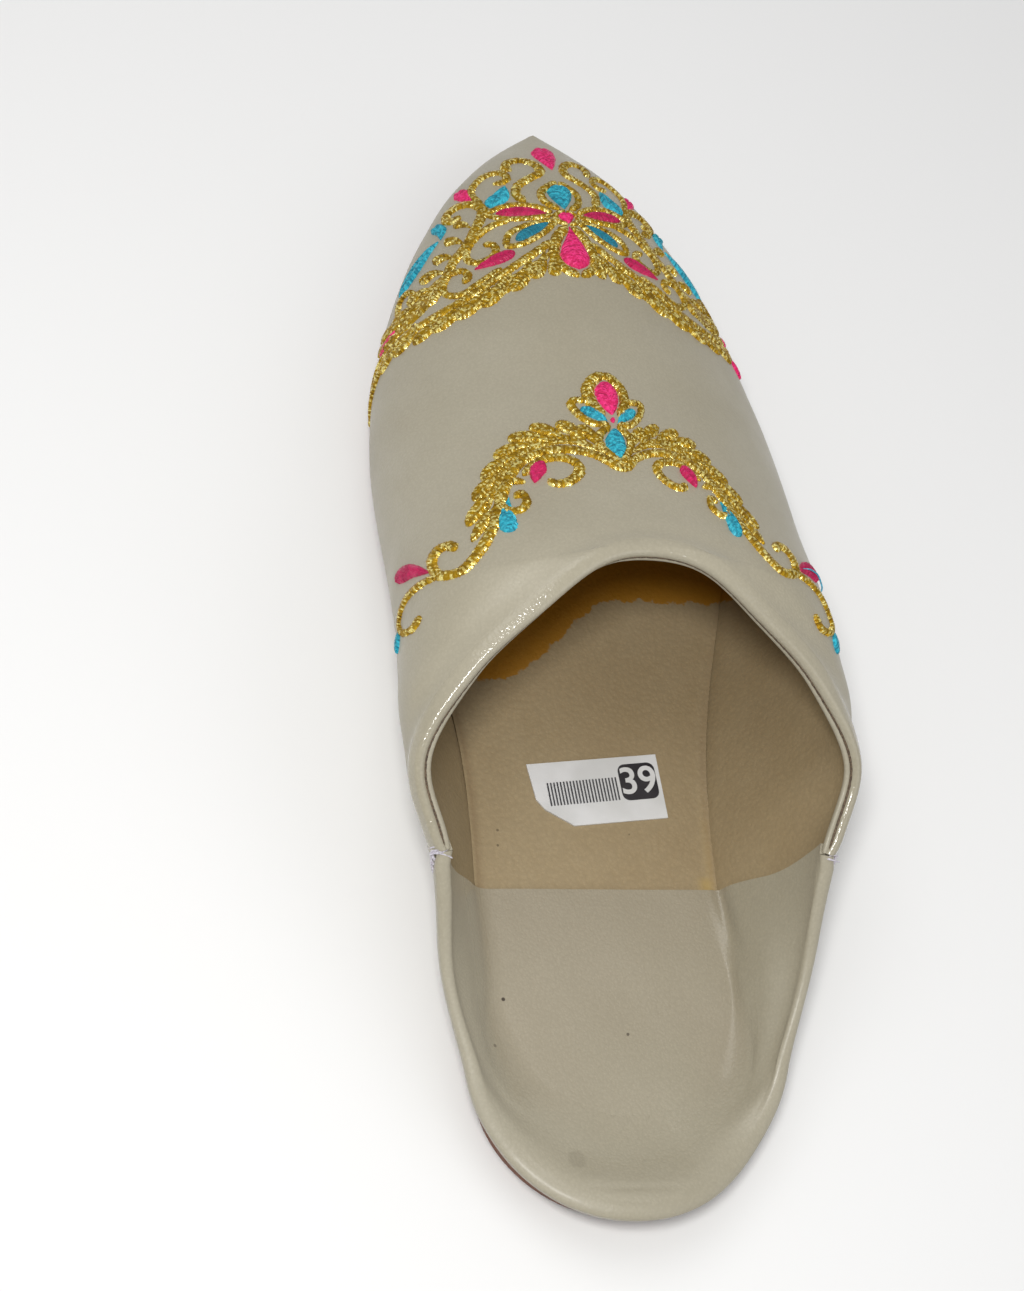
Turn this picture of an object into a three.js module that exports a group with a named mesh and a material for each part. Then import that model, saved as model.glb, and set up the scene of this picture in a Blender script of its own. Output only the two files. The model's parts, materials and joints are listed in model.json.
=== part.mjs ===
// A flat leather slipper with a pointed toe. Its heel quarter is folded down inside.
// Millimetres, +Z up, the toe points along +Y. Both halves are alike, so either foot can wear it.
// Stations are measured along the shoe, from just behind the heel (0) to the toe point.

import * as THREE from 'three';
import { mergeVertices } from 'three/addons/utils/BufferGeometryUtils.js';

// Driving dimensions
const rimBack = 1.2; // station at the back of the heel rim
const toePoint = 272; // station at the point of the sole
const soleThickness = 5;
const soleMargin = 0.8; // how far the sole stands out past the upper
const soleBevel = 0.6; // rubbed lower edge of the sole
const toeSpring = 6; // how high the toe point is off the floor
const toeSpringStart = 190; // station where the sole begins to rise
const archHeight = 1; // hollow under the waist
const archStart = 72;
const archEnd = 150;
const upperWall = 2.2; // leather, backing and lining of the upper
const insoleThickness = 1.6;
const foldThickness = 1.6; // folded-down leather over the insole
const gap = 0.3; // clearance between neighbouring pieces

// Stations that divide the upper
const heelBack = 6; // back of the upper where it meets the sole
const heelArcEnd = 30; // the rounded back of the heel ends here
const seamStation = 70; // side seams, where the mouth's curve begins
const throatStation = 122; // front of the mouth
const upperTip = 271;
const cavityEnd = 263; // the toe is filled in front of this
const insoleEnd = 256;
const foldFront = 73.4; // straight front edge of the folded leather
const foldTop = 0.93; // how far up the wall the folded leather reaches, 1 at the rim

// How finely each stretch is divided
const heelSteps = 9;
const sideSteps = 4;
const mouthSteps = 11;
const vampSteps = 21;
const sectionSteps = 12; // from the sole up to the topline or the crest
const foldWallSteps = 5;

// Where the upper meets the sole.
const outline = [
  { station: 0, foot: 25.6 },
  { station: 30, foot: 28 },
  { station: 50, foot: 28.9 },
  { station: 70, foot: 28.9 },
  { station: 86, foot: 28.9 },
  { station: 100, foot: 29.4 },
  { station: 112, foot: 30.8 },
  { station: 122, foot: 32.7 },
  { station: 140, foot: 36.8 },
  { station: 158, foot: 40.7 },
  { station: 176, foot: 42.6 },
  { station: 195, foot: 41.7 },
  { station: 215, foot: 37.1 },
  { station: 235, foot: 29.4 },
  { station: 252, foot: 19.9 },
  { station: 264, foot: 10.5 },
  { station: 271, foot: 2 },
];

// Rim of the heel: half width and height. The back is rounded off separately.
const heelRim = [
  { station: 0, halfWidth: 28.6, height: 16.2 },
  { station: 12, halfWidth: 30.2, height: 13.4 },
  { station: 30, halfWidth: 34, height: 17.4 },
  { station: 50, halfWidth: 39.4, height: 24.9 },
  { station: 70, halfWidth: 42.5, height: 38.7 },
];

// Mouth from a side seam (0 degrees) to the throat (90 degrees): the swell of the side,
// the shoulder that it leans towards above that, and the topline.
const mouth = [
  { angle: 0, bellyX: 37, bellyZ: 20.3, shoulderX: 41.8, shoulderZ: 28, topX: 42.5, topZ: 38.7 },
  { angle: 18, bellyX: 40, bellyZ: 25.1, shoulderX: 50.6, shoulderZ: 36.6, topX: 46.4, topZ: 49.3 },
  { angle: 36, bellyX: 47.8, bellyZ: 29.1, shoulderX: 57.6, shoulderZ: 47.2, topX: 35.4, topZ: 58.2 },
  { angle: 54, bellyX: 54, bellyZ: 31.8, shoulderX: 54.8, shoulderZ: 57.6, topX: 21, topZ: 64.6 },
  { angle: 72, bellyX: 56, bellyZ: 32.9, shoulderX: 51.4, shoulderZ: 65, topX: 10, topZ: 68.6 },
  { angle: 90, bellyX: 57.6, bellyZ: 34.3, shoulderX: 50, shoulderZ: 69.7, topX: 0, topZ: 69.7 },
];

// Vamp from the throat to the toe: how far its side swells out past the foot line, the
// half width of its shoulder, and the height of its crest.
const vamp = [
  { station: 122, swell: 24.9, shoulderX: 50, height: 69.7 },
  { station: 130, swell: 23, shoulderX: 48.3, height: 66.5 },
  { station: 140, swell: 20.5, shoulderX: 46, height: 62 },
  { station: 158, swell: 15.9, shoulderX: 42.4, height: 54.7 },
  { station: 176, swell: 12.1, shoulderX: 37.7, height: 48.6 },
  { station: 195, swell: 9.3, shoulderX: 32.2, height: 43.6 },
  { station: 215, swell: 7.6, shoulderX: 26.9, height: 38.1 },
  { station: 235, swell: 6.9, shoulderX: 20.9, height: 32.2 },
  { station: 252, swell: 5.6, shoulderX: 14.2, height: 25 },
  { station: 264, swell: 3.8, shoulderX: 7.2, height: 17.3 },
  { station: 271, swell: 1.5, shoulderX: 1.3, height: 13 },
];

// Proportions of a section between the sole and its top
const swellRise = 0.45; // height of the swell, as a share of the section's height
const heelLean = { low: 0.6, high: 0.95, highRise: 0.68 };

const colours = {
  cream: 0xb9b096,
  tan: 0xa59068,
  brown: 0x85482a,
};

// Value of one column of a table at a place along it: a smooth cubic through the rows,
// flat beyond its ends.
function along(rows, placeName, column, place) {
  const last = rows.length - 1;
  const clamped = Math.min(Math.max(place, rows[0][placeName]), rows[last][placeName]);
  let i = 0;
  while (i < last - 1 && clamped > rows[i + 1][placeName]) {
    i += 1;
  }
  const width = (k) => rows[k + 1][placeName] - rows[k][placeName];
  const rise = (k) => (rows[k + 1][column] - rows[k][column]) / width(k);
  const slope = (k) => {
    if (k === 0) return rise(0);
    if (k === last) return rise(last - 1);
    return (rise(k - 1) * width(k) + rise(k) * width(k - 1)) / (width(k - 1) + width(k));
  };
  const h = width(i);
  const t = (clamped - rows[i][placeName]) / h;
  const start = rows[i][column] * (1 + 2 * t) * (1 - t) ** 2 + slope(i) * h * t * (1 - t) ** 2;
  const end = rows[i + 1][column] * t * t * (3 - 2 * t) + slope(i + 1) * h * t * t * (t - 1);
  return start + end;
}

const radians = THREE.MathUtils.degToRad;
const mix = THREE.MathUtils.lerp;
const footAt = (station) => along(outline, 'station', 'foot', station);

// Height of the toe spring at a station: it starts level and steepens to the point.
function springAt(station) {
  const share = (station - toeSpringStart) / (toePoint - toeSpringStart);
  return toeSpring * THREE.MathUtils.clamp(share, 0, 1) ** 2;
}

const soleTopAt = (station) => soleThickness + springAt(station);

// Underside of the sole: flat at the heel and the ball, hollow between them.
function soleBottomAt(station) {
  const share = THREE.MathUtils.clamp((station - archStart) / (archEnd - archStart), 0, 1);
  return springAt(station) + archHeight * Math.sin(Math.PI * share) ** 2;
}

// Heel section at an angle round the back (0 behind, 90 at the side). The wall leans
// out from the sole to the rim.
function heelSection(angle) {
  const turn = radians(angle);
  const rimStation = heelArcEnd - (heelArcEnd - rimBack) * Math.cos(turn);
  const footStation = heelArcEnd - (heelArcEnd - heelBack) * Math.cos(turn);
  const rimWidth = along(heelRim, 'station', 'halfWidth', rimStation);
  const foot = new THREE.Vector3(footAt(rimStation) * Math.sin(turn), footStation, 0);
  const rim = new THREE.Vector3(rimWidth * Math.sin(turn), rimStation, 0);
  return leaningWall(foot, rim, along(heelRim, 'station', 'height', rimStation));
}

// Section of the straight side of the heel, between the rounded back and the seam.
function sideSection(station) {
  const foot = new THREE.Vector3(footAt(station), station, 0);
  const rim = new THREE.Vector3(along(heelRim, 'station', 'halfWidth', station), station, 0);
  return leaningWall(foot, rim, along(heelRim, 'station', 'height', station));
}

// Control points of a wall that leans out from its foot to its rim.
function leaningWall(foot, rim, rimHeight) {
  const low = soleThickness + gap;
  const belly = foot.clone().lerp(rim, heelLean.low).setZ(mix(low, rimHeight, swellRise));
  const upper = foot.clone().lerp(rim, heelLean.high).setZ(mix(low, rimHeight, heelLean.highRise));
  return [foot.setZ(low), belly, upper, rim.setZ(rimHeight)];
}

// Section beside the mouth: from the sole, over the shoulder, to the topline.
function mouthSection(angle) {
  const station = mix(seamStation, throatStation, Math.sin(radians(angle)));
  const column = (name) => along(mouth, 'angle', name, angle);
  return [
    new THREE.Vector3(footAt(station), station, soleTopAt(station) + gap),
    new THREE.Vector3(column('bellyX'), station, column('bellyZ')),
    new THREE.Vector3(column('shoulderX'), station, column('shoulderZ')),
    new THREE.Vector3(column('topX'), station, column('topZ')),
  ];
}

// Section of the closed vamp: from the sole, over the shoulder, to the crest.
function vampSection(station) {
  const column = (name) => along(vamp, 'station', name, station);
  const low = soleTopAt(station) + gap;
  const high = column('height');
  const foot = footAt(station);
  return [
    new THREE.Vector3(foot, station, low),
    new THREE.Vector3(foot + column('swell'), station, mix(low, high, swellRise)),
    new THREE.Vector3(column('shoulderX'), station, high),
    new THREE.Vector3(0, station, high),
  ];
}

// Half sections of the heel, from its back to just behind the side seam.
function heelSections() {
  const sections = [];
  for (let i = 0; i < heelSteps; i += 1) {
    sections.push(heelSection((90 * i) / heelSteps));
  }
  for (let i = 0; i < sideSteps; i += 1) {
    sections.push(sideSection(mix(heelArcEnd, seamStation, i / sideSteps)));
  }
  return sections;
}

// Half sections of the whole upper. The steps along the vamp shorten towards the toe.
function upperSections() {
  const sections = heelSections();
  for (let i = 0; i <= mouthSteps; i += 1) {
    sections.push(mouthSection((90 * i) / mouthSteps));
  }
  for (let i = 1; i <= vampSteps; i += 1) {
    const share = i / vampSteps;
    const eased = (share + Math.sin((Math.PI / 2) * share)) / 2;
    sections.push(vampSection(mix(throatStation, upperTip, eased)));
  }
  return sections;
}

// Grid of points: a row for each section, from the sole to the top.
function sectionGrid(sections) {
  return sections.map((controls) => {
    const curve = new THREE.CubicBezierCurve3(...controls);
    return curve.getPoints(sectionSteps);
  });
}

// Outward normal at each point of a half grid, from the faces round it. A point on
// the middle plane has its mirror image's faces too, so its normal has no x part.
function gridNormals(grid) {
  const normals = grid.map((row) => row.map(() => new THREE.Vector3()));
  for (let i = 0; i < grid.length - 1; i += 1) {
    for (let j = 0; j < grid[i].length - 1; j += 1) {
      const across = grid[i + 1][j + 1].clone().sub(grid[i][j]);
      const back = grid[i][j + 1].clone().sub(grid[i + 1][j]);
      const face = across.cross(back);
      normals[i][j].add(face);
      normals[i + 1][j].add(face);
      normals[i][j + 1].add(face);
      normals[i + 1][j + 1].add(face);
    }
  }
  normals.forEach((row, i) => row.forEach((normal, j) => {
    if (Math.abs(grid[i][j].x) < 1e-6) normal.x = 0;
    normal.normalize();
  }));
  return normals;
}

// Grid moved inwards along its normals.
function offsetGrid(grid, normals, depth) {
  return grid.map((row, i) => row.map((point, j) => point.clone().addScaledVector(normals[i][j], -depth)));
}

// Half of a closed surface, as a list of triangles that is mirrored when it is finished.
class HalfSkin {
  constructor() {
    this.triangles = [];
  }

  // Triangle, left out where two of its corners are one point.
  addTriangle(a, b, c) {
    const area = b.clone().sub(a).cross(c.clone().sub(a)).length() / 2;
    if (area > 1e-5) this.triangles.push([a, b, c]);
  }

  addQuad(a, b, c, d) {
    this.addTriangle(a, b, c);
    this.addTriangle(a, c, d);
  }

  // Sheet over a grid whose rows run forwards and whose columns run up the outside.
  addSheet(grid, facesOut) {
    for (let i = 0; i < grid.length - 1; i += 1) {
      for (let j = 0; j < grid[i].length - 1; j += 1) {
        const corners = [grid[i][j], grid[i + 1][j], grid[i + 1][j + 1], grid[i][j + 1]];
        if (!facesOut) corners.reverse();
        this.addQuad(...corners);
      }
    }
  }

  // Band between two lines of points, facing right of the way from first to second.
  addBand(first, second) {
    for (let i = 0; i < first.length - 1; i += 1) {
      this.addQuad(first[i], second[i], second[i + 1], first[i + 1]);
    }
  }

  // Both halves as one named mesh.
  mesh(name, colour, roughness) {
    const positions = [];
    for (const corners of this.triangles) {
      for (const point of corners) {
        positions.push(point.x, point.y, point.z);
      }
      for (const point of [corners[0], corners[2], corners[1]]) {
        positions.push(-point.x, point.y, point.z);
      }
    }
    const geometry = new THREE.BufferGeometry();
    geometry.setAttribute('position', new THREE.Float32BufferAttribute(positions, 3));
    const material = new THREE.MeshStandardMaterial({ color: colour, roughness, metalness: 0 });
    const mesh = new THREE.Mesh(mergeVertices(geometry, 1e-4), material);
    mesh.name = name;
    return mesh;
  }
}

// The same points on the middle plane.
const onMiddle = (points) => points.map((point) => new THREE.Vector3(0, point.y, point.z));

// Points midway between the two faces of a free edge, pushed out into a rounded lip.
function lipPoints(outer, inner, normals) {
  return outer.map((point, i) => {
    const after = outer[Math.min(i + 1, outer.length - 1)].clone();
    const before = outer[Math.max(i - 1, 0)].clone();
    if (i === 0) before.x = -after.x;
    if (i === outer.length - 1) after.x = -before.x;
    if (i === 0) before.setY(after.y).setZ(after.z);
    if (i === outer.length - 1) after.setY(before.y).setZ(before.z);
    const forwards = after.sub(before).normalize();
    const outwards = normals[i].clone().cross(forwards).normalize();
    return point.clone().add(inner[i]).divideScalar(2).addScaledVector(outwards, upperWall / 2);
  });
}

const upperOuter = sectionGrid(upperSections());
const throatRow = heelSteps + sideSteps + mouthSteps;
const upperNormals = gridNormals(upperOuter);

// One hollow shell: open at the mouth and underneath, filled at the very toe.
function makeUpper() {
  const inner = offsetGrid(upperOuter, upperNormals, upperWall);
  inner.forEach((row, i) => row[0].setZ(upperOuter[i][0].z));
  const cavityRow = upperOuter.findLastIndex((row) => row[0].y <= cavityEnd);
  const topColumn = sectionSteps;
  const skin = new HalfSkin();
  skin.addSheet(upperOuter, true);
  skin.addSheet(inner.slice(0, cavityRow + 1), false);

  const outerTop = upperOuter.slice(0, throatRow + 1).map((row) => row[topColumn]);
  const innerTop = inner.slice(0, throatRow + 1).map((row) => row[topColumn]);
  const topNormals = upperNormals.slice(0, throatRow + 1).map((row) => row[topColumn]);
  const lip = lipPoints(outerTop, innerTop, topNormals);
  skin.addBand(innerTop, lip);
  skin.addBand(lip, outerTop);

  const outerFoot = upperOuter.map((row) => row[0]);
  const innerFoot = inner.slice(0, cavityRow + 1).map((row) => row[0]);
  skin.addBand(outerFoot.slice(0, cavityRow + 1), innerFoot);

  // Filled toe: its back wall inside, its underside, and the blunt end at the point.
  const backWall = inner[cavityRow];
  const backMiddle = new THREE.Vector3(0, backWall[0].y, backWall[0].z);
  for (let j = 0; j < topColumn; j += 1) {
    skin.addTriangle(backMiddle, backWall[j], backWall[j + 1]);
  }
  const toeFoot = [backWall[0], ...outerFoot.slice(cavityRow)];
  skin.addBand(toeFoot, onMiddle(toeFoot));
  const point = upperOuter[upperOuter.length - 1];
  const pointMiddle = new THREE.Vector3(0, point[0].y, point[0].z);
  for (let j = 0; j < topColumn; j += 1) {
    skin.addTriangle(pointMiddle, point[j + 1], point[j]);
  }
  return skin.mesh('upper', colours.cream, 0.5);
}

// Plan of the line where the upper meets the sole, from the heel to the toe.
const footLine = upperOuter.map((row) => new THREE.Vector2(row[0].x, row[0].y));

// Plan line moved sideways: outwards when the distance is positive.
function shiftedLine(line, distance) {
  return line.map((point, i) => {
    const after = line[Math.min(i + 1, line.length - 1)];
    const before = i === 0 ? new THREE.Vector2(-line[1].x, line[1].y) : line[i - 1];
    const forwards = after.clone().sub(before).normalize();
    return new THREE.Vector2(point.x + distance * forwards.y, point.y - distance * forwards.x);
  });
}

// Points of a plan line at the height that a function gives for each station.
const raised = (line, heightAt) => line.map((p) => new THREE.Vector3(p.x, p.y, heightAt(p.y)));

// Plate inside a plan line, with a bevelled lower edge, closed square at its front end.
function plateSkin(line, bevel, bottomAt, topAt) {
  const inset = shiftedLine(line, -bevel);
  const top = raised(line, topAt);
  const bottom = raised(inset, bottomAt);
  const side = raised(line, (station) => bottomAt(station) + bevel);
  const skin = new HalfSkin();
  skin.addBand(onMiddle(top), top);
  skin.addBand(top, side);
  skin.addBand(side, bottom);
  skin.addBand(bottom, onMiddle(bottom));
  const front = line.length - 1;
  const low = new THREE.Vector3(0, bottom[front].y, bottom[front].z);
  const high = new THREE.Vector3(0, top[front].y, top[front].z);
  skin.addTriangle(low, side[front], bottom[front]);
  skin.addTriangle(low, top[front], side[front]);
  skin.addTriangle(low, high, top[front]);
  return skin;
}

// Flat outsole, a little larger than the upper, with its point at the full length.
function makeOutsole() {
  const line = shiftedLine(footLine, soleMargin);
  line[line.length - 1].set(soleMargin, toePoint);
  return plateSkin(line, soleBevel, soleBottomAt, soleTopAt).mesh('outsole', colours.brown, 0.7);
}

// Insole: lies on the outsole inside the upper.
function makeInsole() {
  const line = shiftedLine(footLine, -upperWall - gap).filter((point) => point.y <= insoleEnd);
  line[0].x = 0;
  const bottomAt = (station) => soleTopAt(station) + gap;
  const topAt = (station) => bottomAt(station) + insoleThickness;
  return plateSkin(line, gap, bottomAt, topAt).mesh('insole', colours.tan, 0.8);
}

// Part of a row of wall points above a height, spaced evenly, starting at that height.
function rowAbove(row, height, steps) {
  const curve = new THREE.CatmullRomCurve3(row.slice(0, Math.round(foldTop * sectionSteps) + 1));
  let low = 0;
  let high = 1;
  for (let turn = 0; turn < 30; turn += 1) {
    const middle = (low + high) / 2;
    if (curve.getPoint(middle).z < height) low = middle;
    else high = middle;
  }
  const points = [];
  for (let j = 0; j <= steps; j += 1) {
    points.push(curve.getPoint(mix(low, 1, j / steps)));
  }
  points[0].setZ(height);
  return points;
}

// Heel quarter folded down inside: up the inside of the heel wall and flat over the insole.
function makeHeelFold() {
  const frontAngle = Math.asin((foldFront - seamStation) / (throatStation - seamStation));
  const front = mouthSection(THREE.MathUtils.radToDeg(frontAngle));
  const wallGrid = sectionGrid([...heelSections(), mouthSection(0), front]);
  const normals = gridNormals(wallGrid);
  const floorBottom = soleThickness + gap + insoleThickness + gap;
  const floorTop = floorBottom + foldThickness;
  const under = offsetGrid(wallGrid, normals, upperWall + gap);
  const over = offsetGrid(wallGrid, normals, upperWall + gap + foldThickness);
  const withFloor = (grid, height) => grid.map((row) => {
    const wall = rowAbove(row, height, foldWallSteps);
    return [new THREE.Vector3(0, wall[0].y, height), ...wall];
  });
  const outer = withFloor(under, floorBottom);
  const inner = withFloor(over, floorTop);
  const topColumn = foldWallSteps + 1;
  const skin = new HalfSkin();
  skin.addSheet(outer, true);
  skin.addSheet(inner, false);
  skin.addBand(inner.map((row) => row[topColumn]), outer.map((row) => row[topColumn]));
  skin.addBand(outer[outer.length - 1], inner[inner.length - 1]);
  return skin.mesh('heel_fold', colours.cream, 0.5);
}

const lastFrame = new THREE.Group();
lastFrame.position.y = -(rimBack + toePoint) / 2;
lastFrame.add(makeOutsole(), makeInsole(), makeUpper(), makeHeelFold());

const slipper = new THREE.Group();
slipper.add(lastFrame);

export default slipper;
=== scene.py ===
import math

import bmesh
import bpy
import numpy as np
from mathutils import Matrix, Vector
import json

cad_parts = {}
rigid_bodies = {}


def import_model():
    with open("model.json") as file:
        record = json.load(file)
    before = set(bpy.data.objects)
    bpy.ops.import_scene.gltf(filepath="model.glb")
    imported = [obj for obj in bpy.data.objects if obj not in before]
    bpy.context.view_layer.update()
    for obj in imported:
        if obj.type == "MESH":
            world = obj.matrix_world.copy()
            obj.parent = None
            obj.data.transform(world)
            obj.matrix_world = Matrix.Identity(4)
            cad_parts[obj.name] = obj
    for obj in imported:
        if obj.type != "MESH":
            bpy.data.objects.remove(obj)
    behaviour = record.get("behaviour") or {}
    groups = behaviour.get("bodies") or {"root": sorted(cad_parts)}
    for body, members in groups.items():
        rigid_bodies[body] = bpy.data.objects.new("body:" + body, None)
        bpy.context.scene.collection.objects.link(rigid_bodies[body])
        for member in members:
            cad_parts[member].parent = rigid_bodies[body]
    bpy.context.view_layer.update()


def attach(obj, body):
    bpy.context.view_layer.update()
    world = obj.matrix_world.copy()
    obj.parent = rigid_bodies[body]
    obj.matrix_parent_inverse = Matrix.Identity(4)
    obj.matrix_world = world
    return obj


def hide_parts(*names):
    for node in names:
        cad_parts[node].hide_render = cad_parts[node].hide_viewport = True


# Babouche slipper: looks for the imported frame. Shapes are worked out in millimetres: x across,
# station along the shoe from just behind the heel (0) to the toe point (272), z up.

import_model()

for startupObject in list(bpy.data.objects):
    if startupObject.type in {"LIGHT", "CAMERA"} or startupObject.name == "Cube":
        bpy.data.objects.remove(startupObject)

middleStation = 136.6  # station of the middle of the shoe's length


def toFrame(points):
    # Shoe millimetres to the frame's metres, with the middle of the length at y = 0.
    return (np.asarray(points, float) - (0, middleStation, 0)) / 1000


# The last: sizes that every piece of the shoe shares

last = {
    "rimBack": 1.2,
    "heelBack": 6,
    "heelArcEnd": 30,
    "seam": 70,
    "throat": 122,
    "tip": 271,
    "toePoint": 272,
    "soleTop": 5,
    "upperFoot": 5.3,
    "toeSpring": 6,
    "springStart": 190,
    "archHeight": 1,
    "archStart": 72,
    "archEnd": 150,
    "insoleTop": 6.9,
    "foldTop": 8.8,
    "foldFront": 73.4,
    "swellRise": 0.45,
}

# Ridge at the throat: its bend by distance from the middle line, how far its rounding reaches
# along the shoe, and the heights between which the rounding sets in
throatRidge = {
    "at": [0, 20, 40, 52, 60],
    "bend": [0.57, 0.35, 0.125, 0, 0],
    "ease": 7,
    "low": 28,
    "high": 50,
}

# Half width where the upper meets the sole
outline = {
    "at": [0, 30, 50, 70, 86, 100, 112, 122, 140, 158, 176, 195, 215, 235, 252, 264, 271],
    "foot": [
        25.6, 28, 28.9, 28.9, 28.9, 29.4, 30.8, 32.7, 36.8, 40.7, 42.6, 41.7, 37.1, 29.4, 19.7, 9.2, 0.9,
    ],
}

# Rim of the folded heel, by station
heelRim = {
    "at": [0, 12, 30, 50, 70],
    "halfWidth": [28.6, 30.2, 34, 39.4, 42.5],
    "height": [16.2, 13.4, 17.4, 24.9, 38.7],
}

# Wall of the heel: how far out its swell and its upper part lean, and how high that part is,
# each as a share of the way from the foot to the rim
heelLean = {"low": 0.6, "high": 0.95, "highRise": 0.68}

# Sections beside the mouth, by angle round it: 0 at the side seam, 90 at the throat. A row past
# the throat gives each curve the slope there that a shortened section has.
mouth = {
    "at": [0, 18, 36, 54, 72, 90, 108],
    "bellyX": [37, 40, 47.8, 54, 56, 57.6, 59.3],
    "bellyZ": [20.3, 25.1, 29.1, 31.8, 32.9, 34.3, 36.8],
    "shoulderX": [41.8, 50.6, 57.6, 54.8, 51.4, 50, 49.4],
    "shoulderZ": [28, 36.6, 47.2, 57.6, 65, 69.7, 74.4],
    "topX": [42.5, 46.4, 35.4, 21, 10, 0, -10],
    "topZ": [38.7, 49.3, 58.2, 64.6, 68.6, 69.7, 68.6],
}

# Sections of the closed vamp, by station
vamp = {
    "at": [122, 130, 140, 158, 176, 195, 215, 235, 252, 264, 271],
    "swell": [24.9, 23, 20.5, 15.9, 12.1, 9.3, 7.6, 6.9, 5.4, 3.4, 0.9],
    "shoulderX": [50, 48.3, 46, 42.4, 37.7, 32.2, 26.9, 20.9, 14, 6.4, 0.7],
    "height": [69.7, 66.5, 62, 54.7, 48.6, 43.6, 38.1, 32.2, 25, 17.3, 13],
}


def along(table, column, place):
    # One column of a table at a place: a smooth cubic through the rows, flat beyond the ends.
    at = np.asarray(table["at"], float)
    value = np.asarray(table[column], float)
    place = np.clip(np.asarray(place, float), at[0], at[-1])
    gap = np.diff(at)
    rise = np.diff(value) / gap
    inner = (rise[:-1] * gap[1:] + rise[1:] * gap[:-1]) / (gap[:-1] + gap[1:])
    slope = np.concatenate([rise[:1], inner, rise[-1:]])
    i = np.clip(np.searchsorted(at, place, side="right") - 1, 0, len(at) - 2)
    t = (place - at[i]) / gap[i]
    start = value[i] * (1 + 2 * t) * (1 - t) ** 2 + slope[i] * gap[i] * t * (1 - t) ** 2
    return start + value[i + 1] * t * t * (3 - 2 * t) + slope[i + 1] * gap[i] * t * t * (t - 1)


def smooth(value, low, high):
    # 0 below low, 1 above high, and an S curve between them.
    t = np.clip((value - low) / (high - low), 0, 1)
    return t * t * (3 - 2 * t)


def bell(distance, reach):
    # 1 at no distance, fading smoothly over the reach.
    return np.exp(-((distance / reach) ** 2))


def springAt(station):
    # Height of the toe spring: level, then steeper to the point.
    share = (station - last["springStart"]) / (last["toePoint"] - last["springStart"])
    return last["toeSpring"] * np.clip(share, 0, 1) ** 2


def bezier(controls, t):
    # Cubic Bezier of each row of four controls, at each t.
    t = np.asarray(t, float)[None, :, None]
    a, b, c, d = (controls[:, None, k] for k in range(4))
    return a * (1 - t) ** 3 + 3 * b * t * (1 - t) ** 2 + 3 * c * t * t * (1 - t) + d * t**3


def lastSections(controls, t):
    # Sections of the upper. The mouth's sides fall backwards and the vamp forwards, so the
    # ridge between them is rounded: half its bend times (root of s squared + ease squared, less s),
    # where s is the distance from the throat.
    points = bezier(controls, t)
    away = np.abs(points[..., 1] - last["throat"])
    bend = along(throatRidge, "bend", np.abs(points[..., 0]))
    rounded = bend / 2 * (np.sqrt(away**2 + throatRidge["ease"] ** 2) - away)
    rounded *= smooth(points[..., 2], throatRidge["low"], throatRidge["high"])
    points[..., 2] -= rounded
    return points


def stacked(*columns):
    # Columns of numbers as points, numbers spread over the rows.
    return np.stack(np.broadcast_arrays(*columns), -1).astype(float)


def leaningWall(foot, rim, rimHeight):
    # Controls of a wall from its foot to its rim, both plan points: it bellies, then leans out.
    low = last["upperFoot"]
    belly = foot + heelLean["low"] * (rim - foot)
    upper = foot + heelLean["high"] * (rim - foot)
    bellyZ = low + last["swellRise"] * (rimHeight - low)
    upperZ = low + heelLean["highRise"] * (rimHeight - low)
    return np.stack([
        stacked(foot[:, 0], foot[:, 1], low),
        stacked(belly[:, 0], belly[:, 1], bellyZ),
        stacked(upper[:, 0], upper[:, 1], upperZ),
        stacked(rim[:, 0], rim[:, 1], rimHeight),
    ], 1)


def heelControls(angle):
    # Sections of the rounded heel by angle from the back: rim and foot each on an ellipse.
    turn = np.radians(angle)
    rimStation = last["heelArcEnd"] - (last["heelArcEnd"] - last["rimBack"]) * np.cos(turn)
    footStation = last["heelArcEnd"] - (last["heelArcEnd"] - last["heelBack"]) * np.cos(turn)
    foot = stacked(along(outline, "foot", rimStation) * np.sin(turn), footStation)
    rim = stacked(along(heelRim, "halfWidth", rimStation) * np.sin(turn), rimStation)
    return leaningWall(foot, rim, along(heelRim, "height", rimStation))


def sideControls(station):
    # Sections of the heel's straight sides, each in its own station plane.
    foot = stacked(along(outline, "foot", station), station)
    rim = stacked(along(heelRim, "halfWidth", station), station)
    return leaningWall(foot, rim, along(heelRim, "height", station))


def mouthControls(angle):
    # Sections beside the mouth, which step forwards with the sine of the angle.
    station = last["seam"] + (last["throat"] - last["seam"]) * np.sin(np.radians(angle))
    foot = stacked(along(outline, "foot", station), station, last["upperFoot"] + springAt(station))
    rest = [
        stacked(along(mouth, name + "X", angle), station, along(mouth, name + "Z", angle))
        for name in ("belly", "shoulder", "top")
    ]
    return np.stack([foot] + rest, 1)


def vampControls(station):
    # Sections of the closed vamp: out over the swell, round the shoulder, level at the crest.
    low = last["upperFoot"] + springAt(station)
    high = along(vamp, "height", station)
    foot = along(outline, "foot", station)
    swell = foot + along(vamp, "swell", station)
    return np.stack([
        stacked(foot, station, low),
        stacked(swell, station, low + last["swellRise"] * (high - low)),
        stacked(along(vamp, "shoulderX", station), station, high),
        stacked(0, station, high),
    ], 1)


def unit(vectors):
    # Each vector divided by its own length.
    return vectors / np.maximum(np.linalg.norm(vectors, axis=-1, keepdims=True), 1e-12)


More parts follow.
